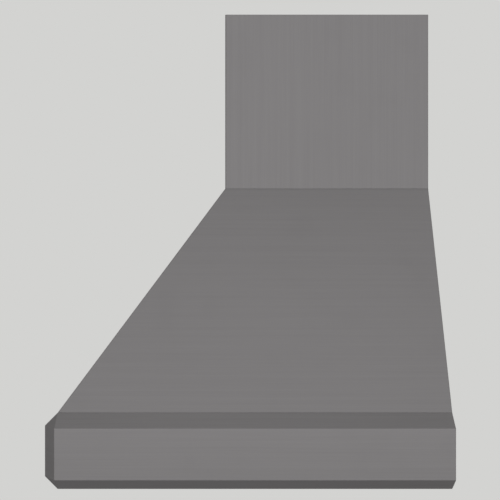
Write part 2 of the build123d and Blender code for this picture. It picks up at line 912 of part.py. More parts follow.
def make_inlet(side):
    """An inlet ring: a bell mouth with a flange on the outside of its side plate."""
    skin = scroll_sheet
    wide = inlet_radius + inlet_curl
    outer = wide + inlet_flange
    face = plate_face
    centre = face + skin - inlet_curl
    slant = math.sqrt(0.5)
    under = inlet_curl - skin
    profile = make_face([
        Line((outer, face), (outer, face + skin)),
        Line((outer, face + skin), (wide, face + skin)),
        ThreePointArc(
            (wide, face + skin),
            (wide - inlet_curl * slant, centre + inlet_curl * slant),
            (inlet_radius, centre),
        ),
        Line((inlet_radius, centre), (inlet_radius + skin, centre)),
        ThreePointArc(
            (inlet_radius + skin, centre),
            (wide - under * slant, centre + under * slant),
            (wide, face),
        ),
        Line((wide, face), (outer, face)),
    ])
    bell = revolve(Plane.XZ * profile, Axis.Z)
    if side < 0:
        bell = Rot(180, 0, 0) * bell
    return blower_place * bell


def make_blades():
    """The blower wheel's forward-curved blades, between its two rings."""
    inner = wheel_radius - blade_depth
    outer = wheel_radius - blade_edge
    sweep_angle = math.radians(blade_sweep)
    lag_angle = sweep_angle * blade_lag
    middle = inner + blade_depth * blade_bow
    bow = ThreePointArc(
        (inner, 0),
        (middle * math.cos(lag_angle), middle * math.sin(lag_angle)),
        (outer * math.cos(sweep_angle), outer * math.sin(sweep_angle)),
    )
    blade = extrude(trace(bow, blade_sheet), wheel_width / 2 - wheel_ring, both=True)
    blades = Part() + [place * blade for place in PolarLocations(0, blade_count)]
    return blower_place * blades


def make_wheel_rings():
    """The two rings that hold the blades' ends."""
    half = wheel_width / 2
    inner = wheel_radius - blade_depth - wheel_ring
    rings = ring(wheel_radius, inner, -half, -half + wheel_ring)
    rings += ring(wheel_radius, inner, half - wheel_ring, half)
    return blower_place * rings


def make_wheel_disc():
    """The wheel's disc, which meets the blades' inner edges, with its hub on the motor's shaft."""
    disc = post(0, 0, disc_offset, disc_offset + disc_sheet, wheel_radius - blade_depth - fit)
    disc += post(0, 0, disc_offset - hub_back, disc_offset + hub_front, hub_radius)
    disc -= post(0, 0, -wheel_width, wheel_width, motor_shaft_radius + press_gap)
    return blower_place * disc


def make_motor():
    """The motor's case: a turned body with two end bells and cooling slots, bored for its shaft."""
    front = motor_front
    back = front - motor_length
    case = turned([
        (0, back),
        (motor_nose, back),
        (motor_radius, back + motor_bell),
        (motor_radius, front - motor_bell),
        (motor_nose, front),
        (0, front),
    ])
    half_length = motor_slot_length / 2
    half_width = motor_slot_width / 2
    slot_floor = front - motor_bell
    for place in PolarLocations(motor_nose + motor_slot_inset + half_length, motor_slot_count):
        case -= place * slab(-half_length, half_length, -half_width, half_width, slot_floor, front + past)
    case -= post(0, 0, front - motor_bore, front + past, motor_shaft_radius + running_gap)
    return blower_place * case


def make_motor_shaft():
    """The motor's shaft, from inside the motor through the wheel's hub."""
    low = motor_front - motor_bore + shaft_tail_gap
    return blower_place * post(0, 0, low, disc_offset + hub_front + shaft_nose, motor_shaft_radius)


def spider_places():
    """The three arms' directions."""
    return [Rot(0, 0, angle) for angle in (30, 150, 270)]


def spider_holes():
    """The screw holes of the spider's feet."""
    low = -spider_face - past
    high = -plate_face + past
    return [place * post(spider_reach, 0, low, high, bolt_radius + fit) for place in spider_places()]


def make_spider():
    """The spider that carries the motor: a band round the case and three arms to the rear side plate."""
    low = -spider_face - spider_sheet
    clear = motor_radius + fit
    half = spider_arm / 2
    foot_start = spider_reach - spider_foot / 2
    foot_end = spider_reach + spider_foot / 2
    spider = ring(clear + spider_sheet, clear, low, low + spider_band)
    for place in spider_places():
        arm = slab(clear + spider_sheet / 2, foot_end, -half, half, low, -spider_face)
        foot = slab(foot_start, foot_end, -half, half, low, -plate_face)
        spider += place * (arm + foot)
    spider -= spider_holes()
    return blower_place * spider


def make_spider_screws():
    """The screws of the spider's feet."""
    low = -spider_face - spider_sheet
    screws = Part()
    for place in spider_places():
        screw = post(spider_reach, 0, low, low + spider_screw_length, bolt_radius)
        screw += post(spider_reach, 0, low - bolt_head_height, low, bolt_head_radius)
        screws += place * screw
    return blower_place * screws


def make_outlet_frame(low, high):
    """A flat frame round the scroll's outlet, between two levels, with the bolt holes."""
    wide = bolt_x + flange_width / 2
    deep = bolt_y + flange_width / 2
    plate = slab(-wide, wide, wheel_y - deep, wheel_y + deep, low, high)
    plate -= slab(
        -outlet_half_x, outlet_half_x,
        wheel_y - outlet_half_y, wheel_y + outlet_half_y,
        low - past, high + past,
    )
    return plate - bolt_holes()


def bolt_places():
    """The four bolts that hold blower, plate and collar together."""
    return [(x, wheel_y + y) for x in (-bolt_x, bolt_x) for y in (-bolt_y, bolt_y)]


def bolt_holes():
    """The clearance holes for the four bolts."""
    low = plate_under - past
    return [post(x, y, low, plate_over + past, bolt_radius + fit) for x, y in bolt_places()]


def make_bolts():
    """The four collar bolts, heads on the collar's flange and nuts under the outlet flange."""
    under = plate_under - gasket_thickness - flange_sheet
    over = plate_over + sheet
    nut_low = under - bolt_nut_height
    bolts = Part()
    for x, y in bolt_places():
        bolt = post(x, y, nut_low - bolt_overrun, over, bolt_radius)
        bolt += post(x, y, over, over + bolt_head_height, bolt_head_radius)
        nut = extrude(Pos(x, y, nut_low) * RegularPolygon(bolt_head_radius, 6), bolt_nut_height)
        bolts += bolt + nut
    return bolts


# Collar and damper, built about the duct's axis on the top plate


def make_collar():
    """The duct collar: a tube on its flange for the duct to slide over, with holes for the damper's rod."""
    tube = ring(collar_radius, collar_bore, sheet, collar_height)
    tube -= along(rod_radius + running_gap, -collar_radius - past, collar_radius + past, 0, damper_height)
    return Pos(0, wheel_y, plate_over) * tube


def make_collar_flange():
    """The ring under the collar's foot that is bolted to the top plate."""
    flange = ring(collar_flange_radius, collar_bore, 0, sheet)
    return Pos(0, wheel_y, plate_over) * flange - bolt_holes()


def make_stops():
    """Two angle tabs inside the collar, on which the closed flaps rest."""
    level = damper_height - damper_sheet / 2 - flap_seat_gap
    half = stop_width / 2
    tab = slab(collar_bore - stop_length, stop_seat, -half, half, level - stop_sheet, level)
    tab += slab(stop_seat - stop_sheet, stop_seat, -half, half, level - stop_leg, level)
    return Pos(0, wheel_y, plate_over) * (tab + mirrored(tab))


def make_rod():
    """The damper's rod across the collar, its ends flush in the collar's wall so that a duct slides over."""
    reach = collar_radius - fit
    return Pos(0, wheel_y, plate_over) * along(rod_radius, -reach, reach, 0, damper_height)


def make_flap(side):
    """One half-round damper flap with its knuckles on the rod, lying closed."""
    start = knuckle_radius + knuckle_clear
    half_sheet = damper_sheet / 2
    cut = Pos(side * (flap_radius / 2 + start), 0) * Rectangle(flap_radius, 3 * flap_radius)
    plate = extrude(Circle(flap_radius) & cut, half_sheet, both=True)
    half_length = flap_radius - knuckle_inset
    pitch = 2 * half_length / knuckle_count
    first = 0 if side > 0 else 1
    for index in range(first, knuckle_count, 2):
        low = -half_length + index * pitch + knuckle_gap / 2
        high = low + pitch - knuckle_gap
        plate += along(knuckle_radius, low, high)
        ends = sorted((0, side * (start + damper_sheet)))
        plate += slab(ends[0], ends[1], low, high, -half_sheet, half_sheet)
    plate -= along(rod_radius + running_gap, -flap_radius, flap_radius)
    return Pos(0, wheel_y, plate_over + damper_height) * plate


# Supply box and capacitor


def make_box():
    """The supply box under the top plate, open below, with a knock-out in its roof and tabs for its cover."""
    half_x = box_width / 2
    half_y = box_depth / 2
    box = slab(
        supply_x - half_x, supply_x + half_x,
        supply_y - half_y, supply_y + half_y,
        box_low, plate_under,
    )
    box -= slab(
        supply_x - half_x + sheet, supply_x + half_x - sheet,
        supply_y - half_y + sheet, supply_y + half_y - sheet,
        box_low - past, plate_under - sheet,
    )
    half_tab = box_tab_width / 2
    for side in (-1, 1):
        inner = supply_x + side * (half_x - sheet)
        edges = sorted((inner, inner - side * box_tab))
        box += slab(edges[0], edges[1], supply_y - half_tab, supply_y + half_tab, box_low, box_low + sheet)
    box -= post(supply_x, supply_y, plate_under - past, plate_under + past, knockout_radius)
    return box - box_screw_holes()


def box_screw_holes():
    """The holes of the two cover screws."""
    holes = []
    for side in (-1, 1):
        x = supply_x + side * box_screw_reach
        holes.append(post(x, supply_y, box_low - past, box_low + past, box_screw_radius + fit))
    return holes


def make_box_cover():
    """The supply box's cover plate."""
    half_x = box_width / 2
    half_y = box_depth / 2
    cover = slab(
        supply_x - half_x, supply_x + half_x,
        supply_y - half_y, supply_y + half_y,
        box_low - sheet, box_low,
    )
    return cover - box_screw_holes()


def make_box_screws():
    """The two cover screws."""
    low = box_low - sheet
    screws = Part()
    for side in (-1, 1):
        x = supply_x + side * box_screw_reach
        screws += post(x, supply_y, low, low + box_screw_length, box_screw_radius)
        screws += post(x, supply_y, low - box_screw_head_height, low, box_screw_head)
    return screws


def make_capacitor():
    """The motor's run capacitor under the top plate on the left, with a raised end for its two tags."""
    front = supply_y - capacitor_length / 2
    back = supply_y + capacitor_length / 2
    cap_front = front - capacitor_cap
    can = along(capacitor_radius, front, back, capacitor_x, capacitor_z)
    can += along(capacitor_radius - capacitor_shoulder, cap_front, back, capacitor_x, capacitor_z)
    half = tag_width / 2
    for side in (-1, 1):
        x = capacitor_x + side * capacitor_tag_spacing / 2
        can += slab(
            x - tag_sheet / 2, x + tag_sheet / 2,
            cap_front - capacitor_tag, front,
            capacitor_z - half, capacitor_z + half,
        )
    return can


def make_capacitor_strap():
    """The strap that holds the capacitor to the top plate."""
    x = capacitor_x
    z = capacitor_z
    low = supply_y - strap_width / 2
    high = supply_y + strap_width / 2
    outer = capacitor_radius + fit + sheet
    wide = outer + strap_foot
    strap = along(outer, low, high, x, z)
    strap += slab(x - wide, x + wide, low, high, plate_under - sheet, plate_under)
    strap += slab(x - outer, x + outer, low, high, z, plate_under)
    strap &= slab(x - wide, x + wide, low, high, z - outer, plate_under)
    return strap - along(capacitor_radius + fit, low - past, high + past, x, z)


def make_parts():
    """Every node by name, each solid where it stands in the finished hood."""
    canopy = make_canopy()
    wedge = canopy_wedge()
    sides = canopy - wedge
    right_side = sides & slab(0, hood_width, -hood_depth, past, 0, cover_top)
    left_side = sides & slab(-hood_width, 0, -hood_depth, past, 0, cover_top)
    under = plate_under - gasket_thickness
    parts = {
        "skirt_band": make_band(),
        "canopy_front_panel": canopy & wedge,
        "canopy_right_panel": right_side,
        "canopy_left_panel": left_side,
        "back_panel": make_back(),
        "mount_straps": make_straps(),
        "top_plate": make_top_plate(),
        "duct_cover": make_cover(),
        "cover_clips": make_clips(),
        "cover_bracket": make_bracket(),
        "control_panel": make_control_panel(),
        "liner_right": make_liner(),
        "filter_divider": make_divider(),
        "rear_channel": make_rear_channel(),
        "filter_catches": make_catches(),
        "filter_frame_right": make_filter_frame(),
        "filter_baffles_right": make_baffles(),
        "filter_handle_right": make_handle(),
        "grease_tray": make_tray(),
        "tray_clips": make_tray_clips(),
        "lamp_driver": make_driver(),
        "scroll_wrapper": make_wrapper(),
        "scroll_front_plate": make_side_plate(1),
        "scroll_rear_plate": make_side_plate(-1),
        "inlet_rings": make_inlet(1) + make_inlet(-1),
        "wheel_blades": make_blades(),
        "wheel_rings": make_wheel_rings(),
        "wheel_disc": make_wheel_disc(),
        "motor_case": make_motor(),
        "motor_shaft": make_motor_shaft(),
        "motor_spider": make_spider(),
        "spider_screws": make_spider_screws(),
        "outlet_gasket": make_outlet_frame(under, plate_under),
        "outlet_flange": make_outlet_frame(under - flange_sheet, under),
        "duct_collar": make_collar(),
        "collar_flange": make_collar_flange(),
        "collar_bolts": make_bolts(),
        "damper_stops": make_stops(),
        "damper_rod": make_rod(),
        "damper_flap_right": make_flap(1),
        "damper_flap_left": make_flap(-1),
        "supply_box": make_box(),
        "supply_cover": make_box_cover(),
        "supply_screws": make_box_screws(),
        "capacitor": make_capacitor(),
        "capacitor_strap": make_capacitor_strap(),
        "fan_knob": knob_at(1) * make_knob(),
        "fan_shaft": knob_at(1) * make_shaft(),
        "light_knob": knob_at(-1) * make_knob(),
        "light_shaft": knob_at(-1) * make_shaft(),
        "rotary_switches": knob_at(1) * make_switch() + knob_at(-1) * make_switch(),
        "switch_nuts": knob_at(1) * make_nut() + knob_at(-1) * make_nut(),
    }
    for name in ("liner", "filter_frame", "filter_baffles", "filter_handle"):
        parts[name + "_left"] = mirrored(parts[name + "_right"])
    lamp_makers = {
        "lamp_housings": make_lamp_housing,
        "lamp_trims": make_lamp_trim,
        "lamp_lenses": make_lamp_lens,
        "lamp_modules": make_lamp_module,
    }
    for name, maker in lamp_makers.items():
        parts[name] = lamp_at(1) * maker() + lamp_at(-1) * maker()
    return parts


def main():
    """Write each node's solids to its own file."""
    os.makedirs("parts", exist_ok=True)
    for name, shape in make_parts().items():
        export_step(shape, "parts/" + name + ".step")


main()
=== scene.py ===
"""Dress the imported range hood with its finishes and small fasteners, and stand it in a plain studio."""
from __future__ import annotations

import json
import logging
import math
from dataclasses import dataclass, field
from enum import Enum
from typing import Iterable, Sequence

import bmesh
import bpy
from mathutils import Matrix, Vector


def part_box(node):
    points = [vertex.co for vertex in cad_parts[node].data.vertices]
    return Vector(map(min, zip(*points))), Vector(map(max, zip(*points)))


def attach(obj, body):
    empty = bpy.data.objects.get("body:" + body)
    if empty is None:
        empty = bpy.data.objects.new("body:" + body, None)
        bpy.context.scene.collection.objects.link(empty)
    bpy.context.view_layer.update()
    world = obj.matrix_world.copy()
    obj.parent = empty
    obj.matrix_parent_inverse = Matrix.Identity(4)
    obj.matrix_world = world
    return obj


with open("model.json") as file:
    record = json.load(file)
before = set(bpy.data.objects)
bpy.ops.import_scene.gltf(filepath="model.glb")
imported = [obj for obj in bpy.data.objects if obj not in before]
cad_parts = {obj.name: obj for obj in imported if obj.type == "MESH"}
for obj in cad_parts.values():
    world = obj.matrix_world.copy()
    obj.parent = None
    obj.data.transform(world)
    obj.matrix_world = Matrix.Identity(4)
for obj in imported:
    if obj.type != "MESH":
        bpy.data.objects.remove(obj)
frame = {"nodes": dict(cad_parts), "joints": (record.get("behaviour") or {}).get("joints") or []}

log = logging.getLogger("range_hood")

Colour = tuple[float, float, float]
Point = tuple[float, float, float]
Outline = tuple[tuple[float, float], ...]

BEVEL_SAMPLES = 4


class Grain(Enum):
    """Which way the brushed lines of a sheet run, as the stretch of its noise along X, Y and Z."""

    LEVEL = (2.2, 2.2, 520.0)
    UPRIGHT = (460.0, 460.0, 2.2)
    FRONT_TO_BACK = (480.0, 2.4, 480.0)
    ACROSS = (2.2, 480.0, 480.0)


class Head(Enum):
    """The heads of the small fasteners, by the name of their base mesh."""

    HEX_SCREW = "hex_screw_head"
    BLIND_RIVET = "blind_rivet_head"


class Wire:
    """A number that comes out of a shader node and can be reckoned with."""

    def __init__(self, bench: Bench, socket: bpy.types.NodeSocket) -> None:
        """Keep the socket and the bench that it belongs to.

        Args:
            bench: The tree that new nodes go into.
            socket: The output socket that carries the number.
        """
        self.bench = bench
        self.socket = socket

    def __add__(self, other: Wire | float) -> Wire:
        """Add."""
        return self.bench.maths("ADD", self, other)

    def __radd__(self, other: float) -> Wire:
        """Add to a plain number."""
        return self.bench.maths("ADD", other, self)

    def __sub__(self, other: Wire | float) -> Wire:
        """Take away."""
        return self.bench.maths("SUBTRACT", self, other)

    def __rsub__(self, other: float) -> Wire:
        """Take this from a plain number."""
        return self.bench.maths("SUBTRACT", other, self)

    def __mul__(self, other: Wire | float) -> Wire:
        """Multiply."""
        return self.bench.maths("MULTIPLY", self, other)

    def __rmul__(self, other: float) -> Wire:
        """Multiply a plain number."""
        return self.bench.maths("MULTIPLY", other, self)

    def __or__(self, other: Wire | float) -> Wire:
        """Give the greater of the two."""
        return self.bench.maths("MAXIMUM", self, other)

    def __ror__(self, other: float) -> Wire:
        """Give the greater of a plain number and this."""
        return self.bench.maths("MAXIMUM", other, self)

    def __abs__(self) -> Wire:
        """Give the number without its sign."""
        return self.bench.maths("ABSOLUTE", self)

    def sine(self) -> Wire:
        """Give the sine."""
        return self.bench.maths("SINE", self)

    def eased(self, low: float, high: float) -> Wire:
        """Ramp this number smoothly from 0 to 1.

        Args:
            low: Where the ramp starts.
            high: Where the ramp ends.

        Returns:
            The ramped number.
        """
        ramp = self.bench.node(
            "ShaderNodeMapRange",
            {"interpolation_type": "SMOOTHSTEP"},
            {"Value": self, "From Min": low, "From Max": high},
        )
        return self.bench.wire(ramp, "Result")


Value = Wire | bpy.types.NodeSocket | bpy.types.ID | float | Sequence[float]


def blend(first: Wire, second: Wire, share: float) -> Wire:
    """Add two patterns in given shares.

    Args:
        first: The first pattern.
        second: The second pattern.
        share: The first pattern's share of the whole.

    Returns:
        The sum.
    """
    return first * share + second * (1.0 - share)


def live(sockets: Iterable[bpy.types.NodeSocket], key: str | int) -> bpy.types.NodeSocket:
    """Find a socket by its place, or by its name among the sockets that are in use.

    Args:
        sockets: A node's inputs or outputs.
        key: The name or the place.

    Returns:
        The socket.
    """
    if isinstance(key, int):
        return sockets[key]
    return next(socket for socket in sockets if socket.enabled and socket.name == key)


class Bench:
    """A node tree, with one way of adding a node to it."""

    def __init__(self, tree: bpy.types.NodeTree) -> None:
        """Start with an empty tree.

        Args:
            tree: The tree of a material, a world or a Geometry Nodes group.
        """
        self.nodes = tree.nodes
        self.links = tree.links
        self.nodes.clear()

    def node(
        self,
        kind: str,
        settings: dict[str, object] | None = None,
        inputs: dict[str | int, Value] | None = None,
    ) -> bpy.types.Node:
        """Add one node.

        Args:
            kind: The node's type.
            settings: Properties of the node itself, set first.
            inputs: Values, sockets or wires by the input's name or place.

        Returns:
            The new node.
        """
        made = self.nodes.new(kind)
        for key, value in (settings or {}).items():
            setattr(made, key, value)
        for key, value in (inputs or {}).items():
            self.join(live(made.inputs, key), value)
        return made

    def join(self, socket: bpy.types.NodeSocket, value: Value) -> None:
        """Link a wire or a socket to an input, or set the input's own value.

        Args:
            socket: The input.
            value: What it takes.
        """
        if isinstance(value, Wire):
            self.links.new(value.socket, socket)
        elif isinstance(value, bpy.types.NodeSocket):
            self.links.new(value, socket)
        else:
            socket.default_value = value

    def wire(self, node: bpy.types.Node, name: str | int = 0) -> Wire:
        """Wrap one of a node's outputs.

        Args:
            node: The node.
            name: The output's name or place.

        Returns:
            The wire.
        """
        return Wire(self, live(node.outputs, name))

    def maths(self, operation: str, *values: Wire | float) -> Wire:
        """Add a maths node.

        Args:
            operation: What it does.
            values: Its one or two numbers.

        Returns:
            Its result.
        """
        return self.wire(self.node("ShaderNodeMath", {"operation": operation}, dict(enumerate(values))))

    def shown(self) -> Wire:
        """Pick out the rays that show the background: camera, glossy and transmission.

        Returns:
            1 for such a ray and 0 for any other.
        """
        path = self.node("ShaderNodeLightPath")
        glossy = self.wire(path, "Is Glossy Ray")
        return self.wire(path, "Is Camera Ray") | glossy | self.wire(path, "Is Transmission Ray")


class Tree(Bench):
    """The nodes of one material, around one Principled shader."""

    def __init__(self, name: str) -> None:
        """Make the material with its shader and its output.

        Args:
            name: The material's name.
        """
        self.material = bpy.data.materials.new(name)
        self.material.use_nodes = True
        super().__init__(self.material.node_tree)
        self.shader = self.node("ShaderNodeBsdfPrincipled")
        self.output = self.node("ShaderNodeOutputMaterial", None, {"Surface": self.shader.outputs["BSDF"]})

    def vector(self, operation: str, *values: Wire | Sequence[float]) -> bpy.types.Node:
        """Add a vector maths node.

        Args:
            operation: What it does.
            values: Its one or two vectors.

        Returns:
            The node.
        """
        return self.node("ShaderNodeVectorMath", {"operation": operation}, dict(enumerate(values)))

    def place(self) -> Wire:
        """Give the point on the object, in metres."""
        return self.wire(self.node("ShaderNodeTexCoord"), "Object")

    def offset(self, centre: Point) -> Wire:
        """Give the way from a centre to the point on the object."""
        return self.wire(self.vector("SUBTRACT", self.place(), centre))

    def along(self, centre: Point, way: Point) -> Wire:
        """Measure from a centre along a direction.

        Args:
            centre: Where the distance is 0.
            way: The direction, of length 1.

        Returns:
            The distance in metres.
        """
        return self.wire(self.vector("DOT_PRODUCT", self.offset(centre), way), "Value")

    def radius(self, centre: Point, axis: Point) -> Wire:
        """Measure from an axis.

        Args:
            centre: A point on the axis.
            axis: Its direction, of length 1.

        Returns:
            The distance in metres.
        """
        cross = self.wire(self.vector("CROSS_PRODUCT", self.offset(centre), axis))
        return self.wire(self.vector("LENGTH", cross), "Value")

    def noise(self, scale: float, stretch: Sequence[float] = (1, 1, 1), detail: float = 3.0) -> Wire:
        """Add a soft noise from 0 to 1.

        Args:
            scale: Its blotches to the metre.
            stretch: A factor for each axis.
            detail: How many finer layers it has.

        Returns:
            The noise.
        """
        point = self.wire(self.vector("MULTIPLY", self.place(), stretch))
        return self.wire(
            self.node("ShaderNodeTexNoise", None, {"Vector": point, "Scale": scale, "Detail": detail})
        )

    def cells(self, scale: float) -> tuple[Wire, Wire]:
        """Add a pattern of random cells.

        Args:
            scale: Cells to the metre.

        Returns:
            The distance from each cell's point, and a random number for each cell.
        """
        pattern = self.node("ShaderNodeTexVoronoi", None, {"Vector": self.place(), "Scale": scale})
        split = self.node("ShaderNodeSeparateColor", None, {0: pattern.outputs["Color"]})
        return self.wire(pattern, "Distance"), self.wire(split)

    def mixed(self, factor: Wire, first: Colour | Wire, second: Colour | Wire) -> Wire:
        """Mix two colours.

        Args:
            factor: 0 for the first, 1 for the second.
            first: The first colour.
            second: The second colour.

        Returns:
            The mixed colour.
        """
        ends = [colour if isinstance(colour, Wire) else (*colour, 1.0) for colour in (first, second)]
        inputs = {"Factor": factor, "A": ends[0], "B": ends[1]}
        return self.wire(self.node("ShaderNodeMix", {"data_type": "RGBA"}, inputs), "Result")

    def bump(self, height: Wire, depth: float, soften: float = 0.0) -> Wire:
        """Turn a height into a surface normal.

        Args:
            height: The height, from 0 to 1.
            depth: The height of 1 in metres.
            soften: How far the edges are rounded, in metres.

        Returns:
            The normal.
        """
        inputs: dict[str | int, Value] = {"Height": height, "Distance": depth, "Strength": 1.0}
        if soften:
            rounded = self.node("ShaderNodeBevel", {"samples": BEVEL_SAMPLES}, {"Radius": soften})
            inputs["Normal"] = self.wire(rounded)
        return self.wire(self.node("ShaderNodeBump", None, inputs))

    def feed(self, **values: Value) -> None:
        """Set or link the shader's inputs.

        Args:
            values: Each input's name with _ for a space, and its value.
        """
        for key, value in values.items():
            self.join(self.shader.inputs[key.replace("_", " ")], value)


def shade(colour: Colour, by: float) -> Colour:
    """Lighten or darken a colour.

    Args:
        colour: The colour.
        by: The factor.

    Returns:
        The new colour.
    """
    return (colour[0] * by, colour[1] * by, colour[2] * by)


@dataclass(frozen=True)
class Finish:
    """A surface finish with its colour and gloss. Each kind adds its own pattern.

    Scales count blotches to the metre, depths and softened edges are in metres.
    """

    name: str
    colour: Colour
    roughness: float
    metallic: float = 1.0
    dark: float = 0.8
    light: float = 1.2
    soften: float = 0.0006

    def build(self) -> bpy.types.Material:
        """Make the material.

        Returns:
            The material.
        """
        tree = Tree(self.name)
        tree.feed(Base_Color=(*self.colour, 1.0), Roughness=self.roughness, Metallic=self.metallic)
        tree.material.diffuse_color = (*self.colour, 1.0)
        self.paint(tree)
        log.info("finish %s", self.name)
        return tree.material

    def tones(self, tree: Tree, pattern: Wire) -> Wire:
        """Vary the colour from its dark to its light shade.

        Args:
            tree: The material's nodes.
            pattern: 0 where it is dark, 1 where it is light.

        Returns:
            The colour.
        """
        return tree.mixed(pattern, shade(self.colour, self.dark), shade(self.colour, self.light))

    def gloss(self, pattern: Wire, swing: float) -> Wire:
        """Let the roughness swing about its middle.

        Args:
            pattern: 0 where it is smooth, 1 where it is rough.
            swing: How far apart the two are.

        Returns:
            The roughness.
        """
        return pattern * swing + (self.roughness - swing / 2)

    def paint(self, tree: Tree) -> None:
        """Add the pattern of this kind of finish.

        Args:
            tree: The material's nodes.
        """
        raise NotImplementedError


@dataclass(frozen=True)
class Brushed(Finish):
    """Sheet steel brushed one way, with fine lines, soft cloudy tone and faint rubbed patches."""

    dark: float = 0.72
    light: float = 1.28
    soften: float = 0.0012
    grain: Grain = Grain.LEVEL
    contrast: float = 0.32
    fine_scale: float = 3.1
    coarse_scale: float = 0.42
    fine_share: float = 0.6
    cloud: float = 0.03
    cloud_scale: float = 5.5
    rub: float = 0.02
    rub_scale: float = 17.0
    rub_ramp: tuple[float, float] = (0.52, 0.72)
    gloss_swing: float = 0.2
    depth: float = 0.00004
    edge_tint: float = 0.42

    def paint(self, tree: Tree) -> None:
        """Add brushed lines to colour, gloss and relief.

        Args:
            tree: The material's nodes.
        """
        fine = tree.noise(self.fine_scale, self.grain.value, detail=2.0)
        coarse = tree.noise(self.coarse_scale, self.grain.value, detail=4.0)
        clouds = tree.noise(self.cloud_scale, detail=2.0)
        rubbed = tree.noise(self.rub_scale, detail=4.0).eased(*self.rub_ramp)
        lines = blend(fine, coarse, self.fine_share)
        pattern = (lines - 0.5) * (self.contrast * 2) + (clouds - 0.5) * (self.cloud * 2) + 0.5
        tree.feed(
            Base_Color=self.tones(tree, pattern),
            Roughness=self.gloss(lines, self.gloss_swing) + rubbed * self.rub,
            Normal=tree.bump(lines, self.depth, self.soften),
            Specular_Tint=(self.edge_tint, self.edge_tint, self.edge_tint, 1.0),
        )


@dataclass(frozen=True)
class Spangled(Finish):
    """Galvanised sheet with its crystal pattern under an uneven film."""

    dark: float = 0.74
    light: float = 1.16
    cells: float = 95.0
    film_scale: float = 9.0
    crystal_share: float = 0.6
    gloss_swing: float = 0.26
    depth: float = 0.00004

    def paint(self, tree: Tree) -> None:
        """Add crystals to colour, gloss and relief.

        Args:
            tree: The material's nodes.
        """
        edge, crystal = tree.cells(self.cells)
        pattern = blend(crystal, tree.noise(self.film_scale), self.crystal_share)
        tree.feed(
            Base_Color=self.tones(tree, pattern),
            Roughness=self.gloss(pattern, self.gloss_swing),
            Normal=tree.bump(edge, self.depth, self.soften),
        )


@dataclass(frozen=True)
class Bright(Finish):
    """Smooth plated or drawn metal with faint streaks and a few rubbed patches."""

    dark: float = 0.88
    light: float = 1.08
    soften: float = 0.0004
    stretch: Point = (30.0, 30.0, 400.0)
    streak_scale: float = 1.6
    streak_swing: float = 0.07
    patch_scale: float = 42.0
    patch_swing: float = 0.08
    patch_ramp: tuple[float, float] = (0.4, 0.75)
    depth: float = 0.00001

    def paint(self, tree: Tree) -> None:
        """Add streaks to colour, gloss and relief.

        Args:
            tree: The material's nodes.
        """
        streaks = tree.noise(self.streak_scale, self.stretch)
        patches = tree.noise(self.patch_scale).eased(*self.patch_ramp)
        tree.feed(
            Base_Color=self.tones(tree, streaks),
            Roughness=self.gloss(streaks, self.streak_swing) + patches * self.patch_swing,
            Normal=tree.bump(streaks, self.depth, self.soften),
        )


@dataclass(frozen=True)
class Turned(Finish):
    """A turned knob in satin metal: fine rings round its axis and dark paint in its pointer groove.

    The centre lies on the panel's face and the axis points out of it, so the groove's level is measured
    from the panel, and its start and half width from the axis.
    """

    dark: float = 0.82
    light: float = 1.14
    soften: float = 0.0005
    centre: Point = (0.0, 0.0, 0.0)
    axis: Point = (0.0, 0.0, 1.0)
    ring_pitch: float = 0.0007
    ring_share: float = 0.3
    wear_scale: float = 160.0
    gloss_swing: float = 0.14
    depth: float = 0.00002
    groove_start: float = 0.0035
    groove_half: float = 0.0008
    groove_level: float = 0.0239
    groove_edge: float = 0.0001
    groove_paint: Colour = (0.012, 0.012, 0.013)

    def groove(self, tree: Tree) -> Wire:
        """Mark the pointer groove in the knob's end face.

        Args:
            tree: The material's nodes.

        Returns:
            1 in the groove and 0 elsewhere.
        """
        across = Vector((1.0, 0.0, 0.0))
        pointer = across.cross(Vector(self.axis))
        side = abs(tree.along(self.centre, tuple(across)))
        reach = tree.along(self.centre, tuple(pointer))
        level = tree.along(self.centre, self.axis)
        within = 1.0 - side.eased(self.groove_half, self.groove_half + self.groove_edge)
        beyond = reach.eased(self.groove_start, self.groove_start + self.groove_edge)
        above = level.eased(self.groove_level - self.groove_edge, self.groove_level)
        return within * beyond * above

    def paint(self, tree: Tree) -> None:
        """Add rings to colour, gloss and relief, and paint to the groove.

        Args:
            tree: The material's nodes.
        """
        turns = tree.radius(self.centre, self.axis) * (math.tau / self.ring_pitch)
        rings = turns.sine() * 0.5 + 0.5
        wear = tree.noise(self.wear_scale, detail=4.0)
        groove = self.groove(tree)
        metal = self.tones(tree, blend(rings, wear, self.ring_share))
        tree.feed(
            Base_Color=tree.mixed(groove, metal, self.groove_paint),
            Metallic=(1.0 - groove) * self.metallic,
            Roughness=self.gloss(wear, self.gloss_swing),
            Normal=tree.bump(rings, self.depth, self.soften),
        )


@dataclass(frozen=True)
class Coated(Finish):
    """Paint, moulded plastic or rubber: a fine pebbled skin with uneven tone and dust."""

    metallic: float = 0.0
    pebble_scale: float = 1400.0
    pebble_share: float = 0.04
    gloss_swing: float = 0.12
    depth: float = 0.00006
    dust: Colour = (0.2, 0.19, 0.18)
    dust_scale: float = 38.0
    dust_share: float = 0.22
    dust_ramp: tuple[float, float] = (0.48, 0.86)
    dust_dulling: float = 0.5

    def paint(self, tree: Tree) -> None:
        """Add pebbles and dust to colour, gloss and relief.

        Args:
            tree: The material's nodes.
        """
        pebbles = tree.noise(self.pebble_scale, detail=2.0)
        dust = tree.noise(self.dust_scale, detail=5.0).eased(*self.dust_ramp) * self.dust_share
        tree.feed(
            Base_Color=tree.mixed(dust + pebbles * self.pebble_share, self.colour, self.dust),
            Roughness=self.gloss(pebbles, self.gloss_swing) + dust * self.dust_dulling,
            Normal=tree.bump(pebbles, self.depth, self.soften),
        )


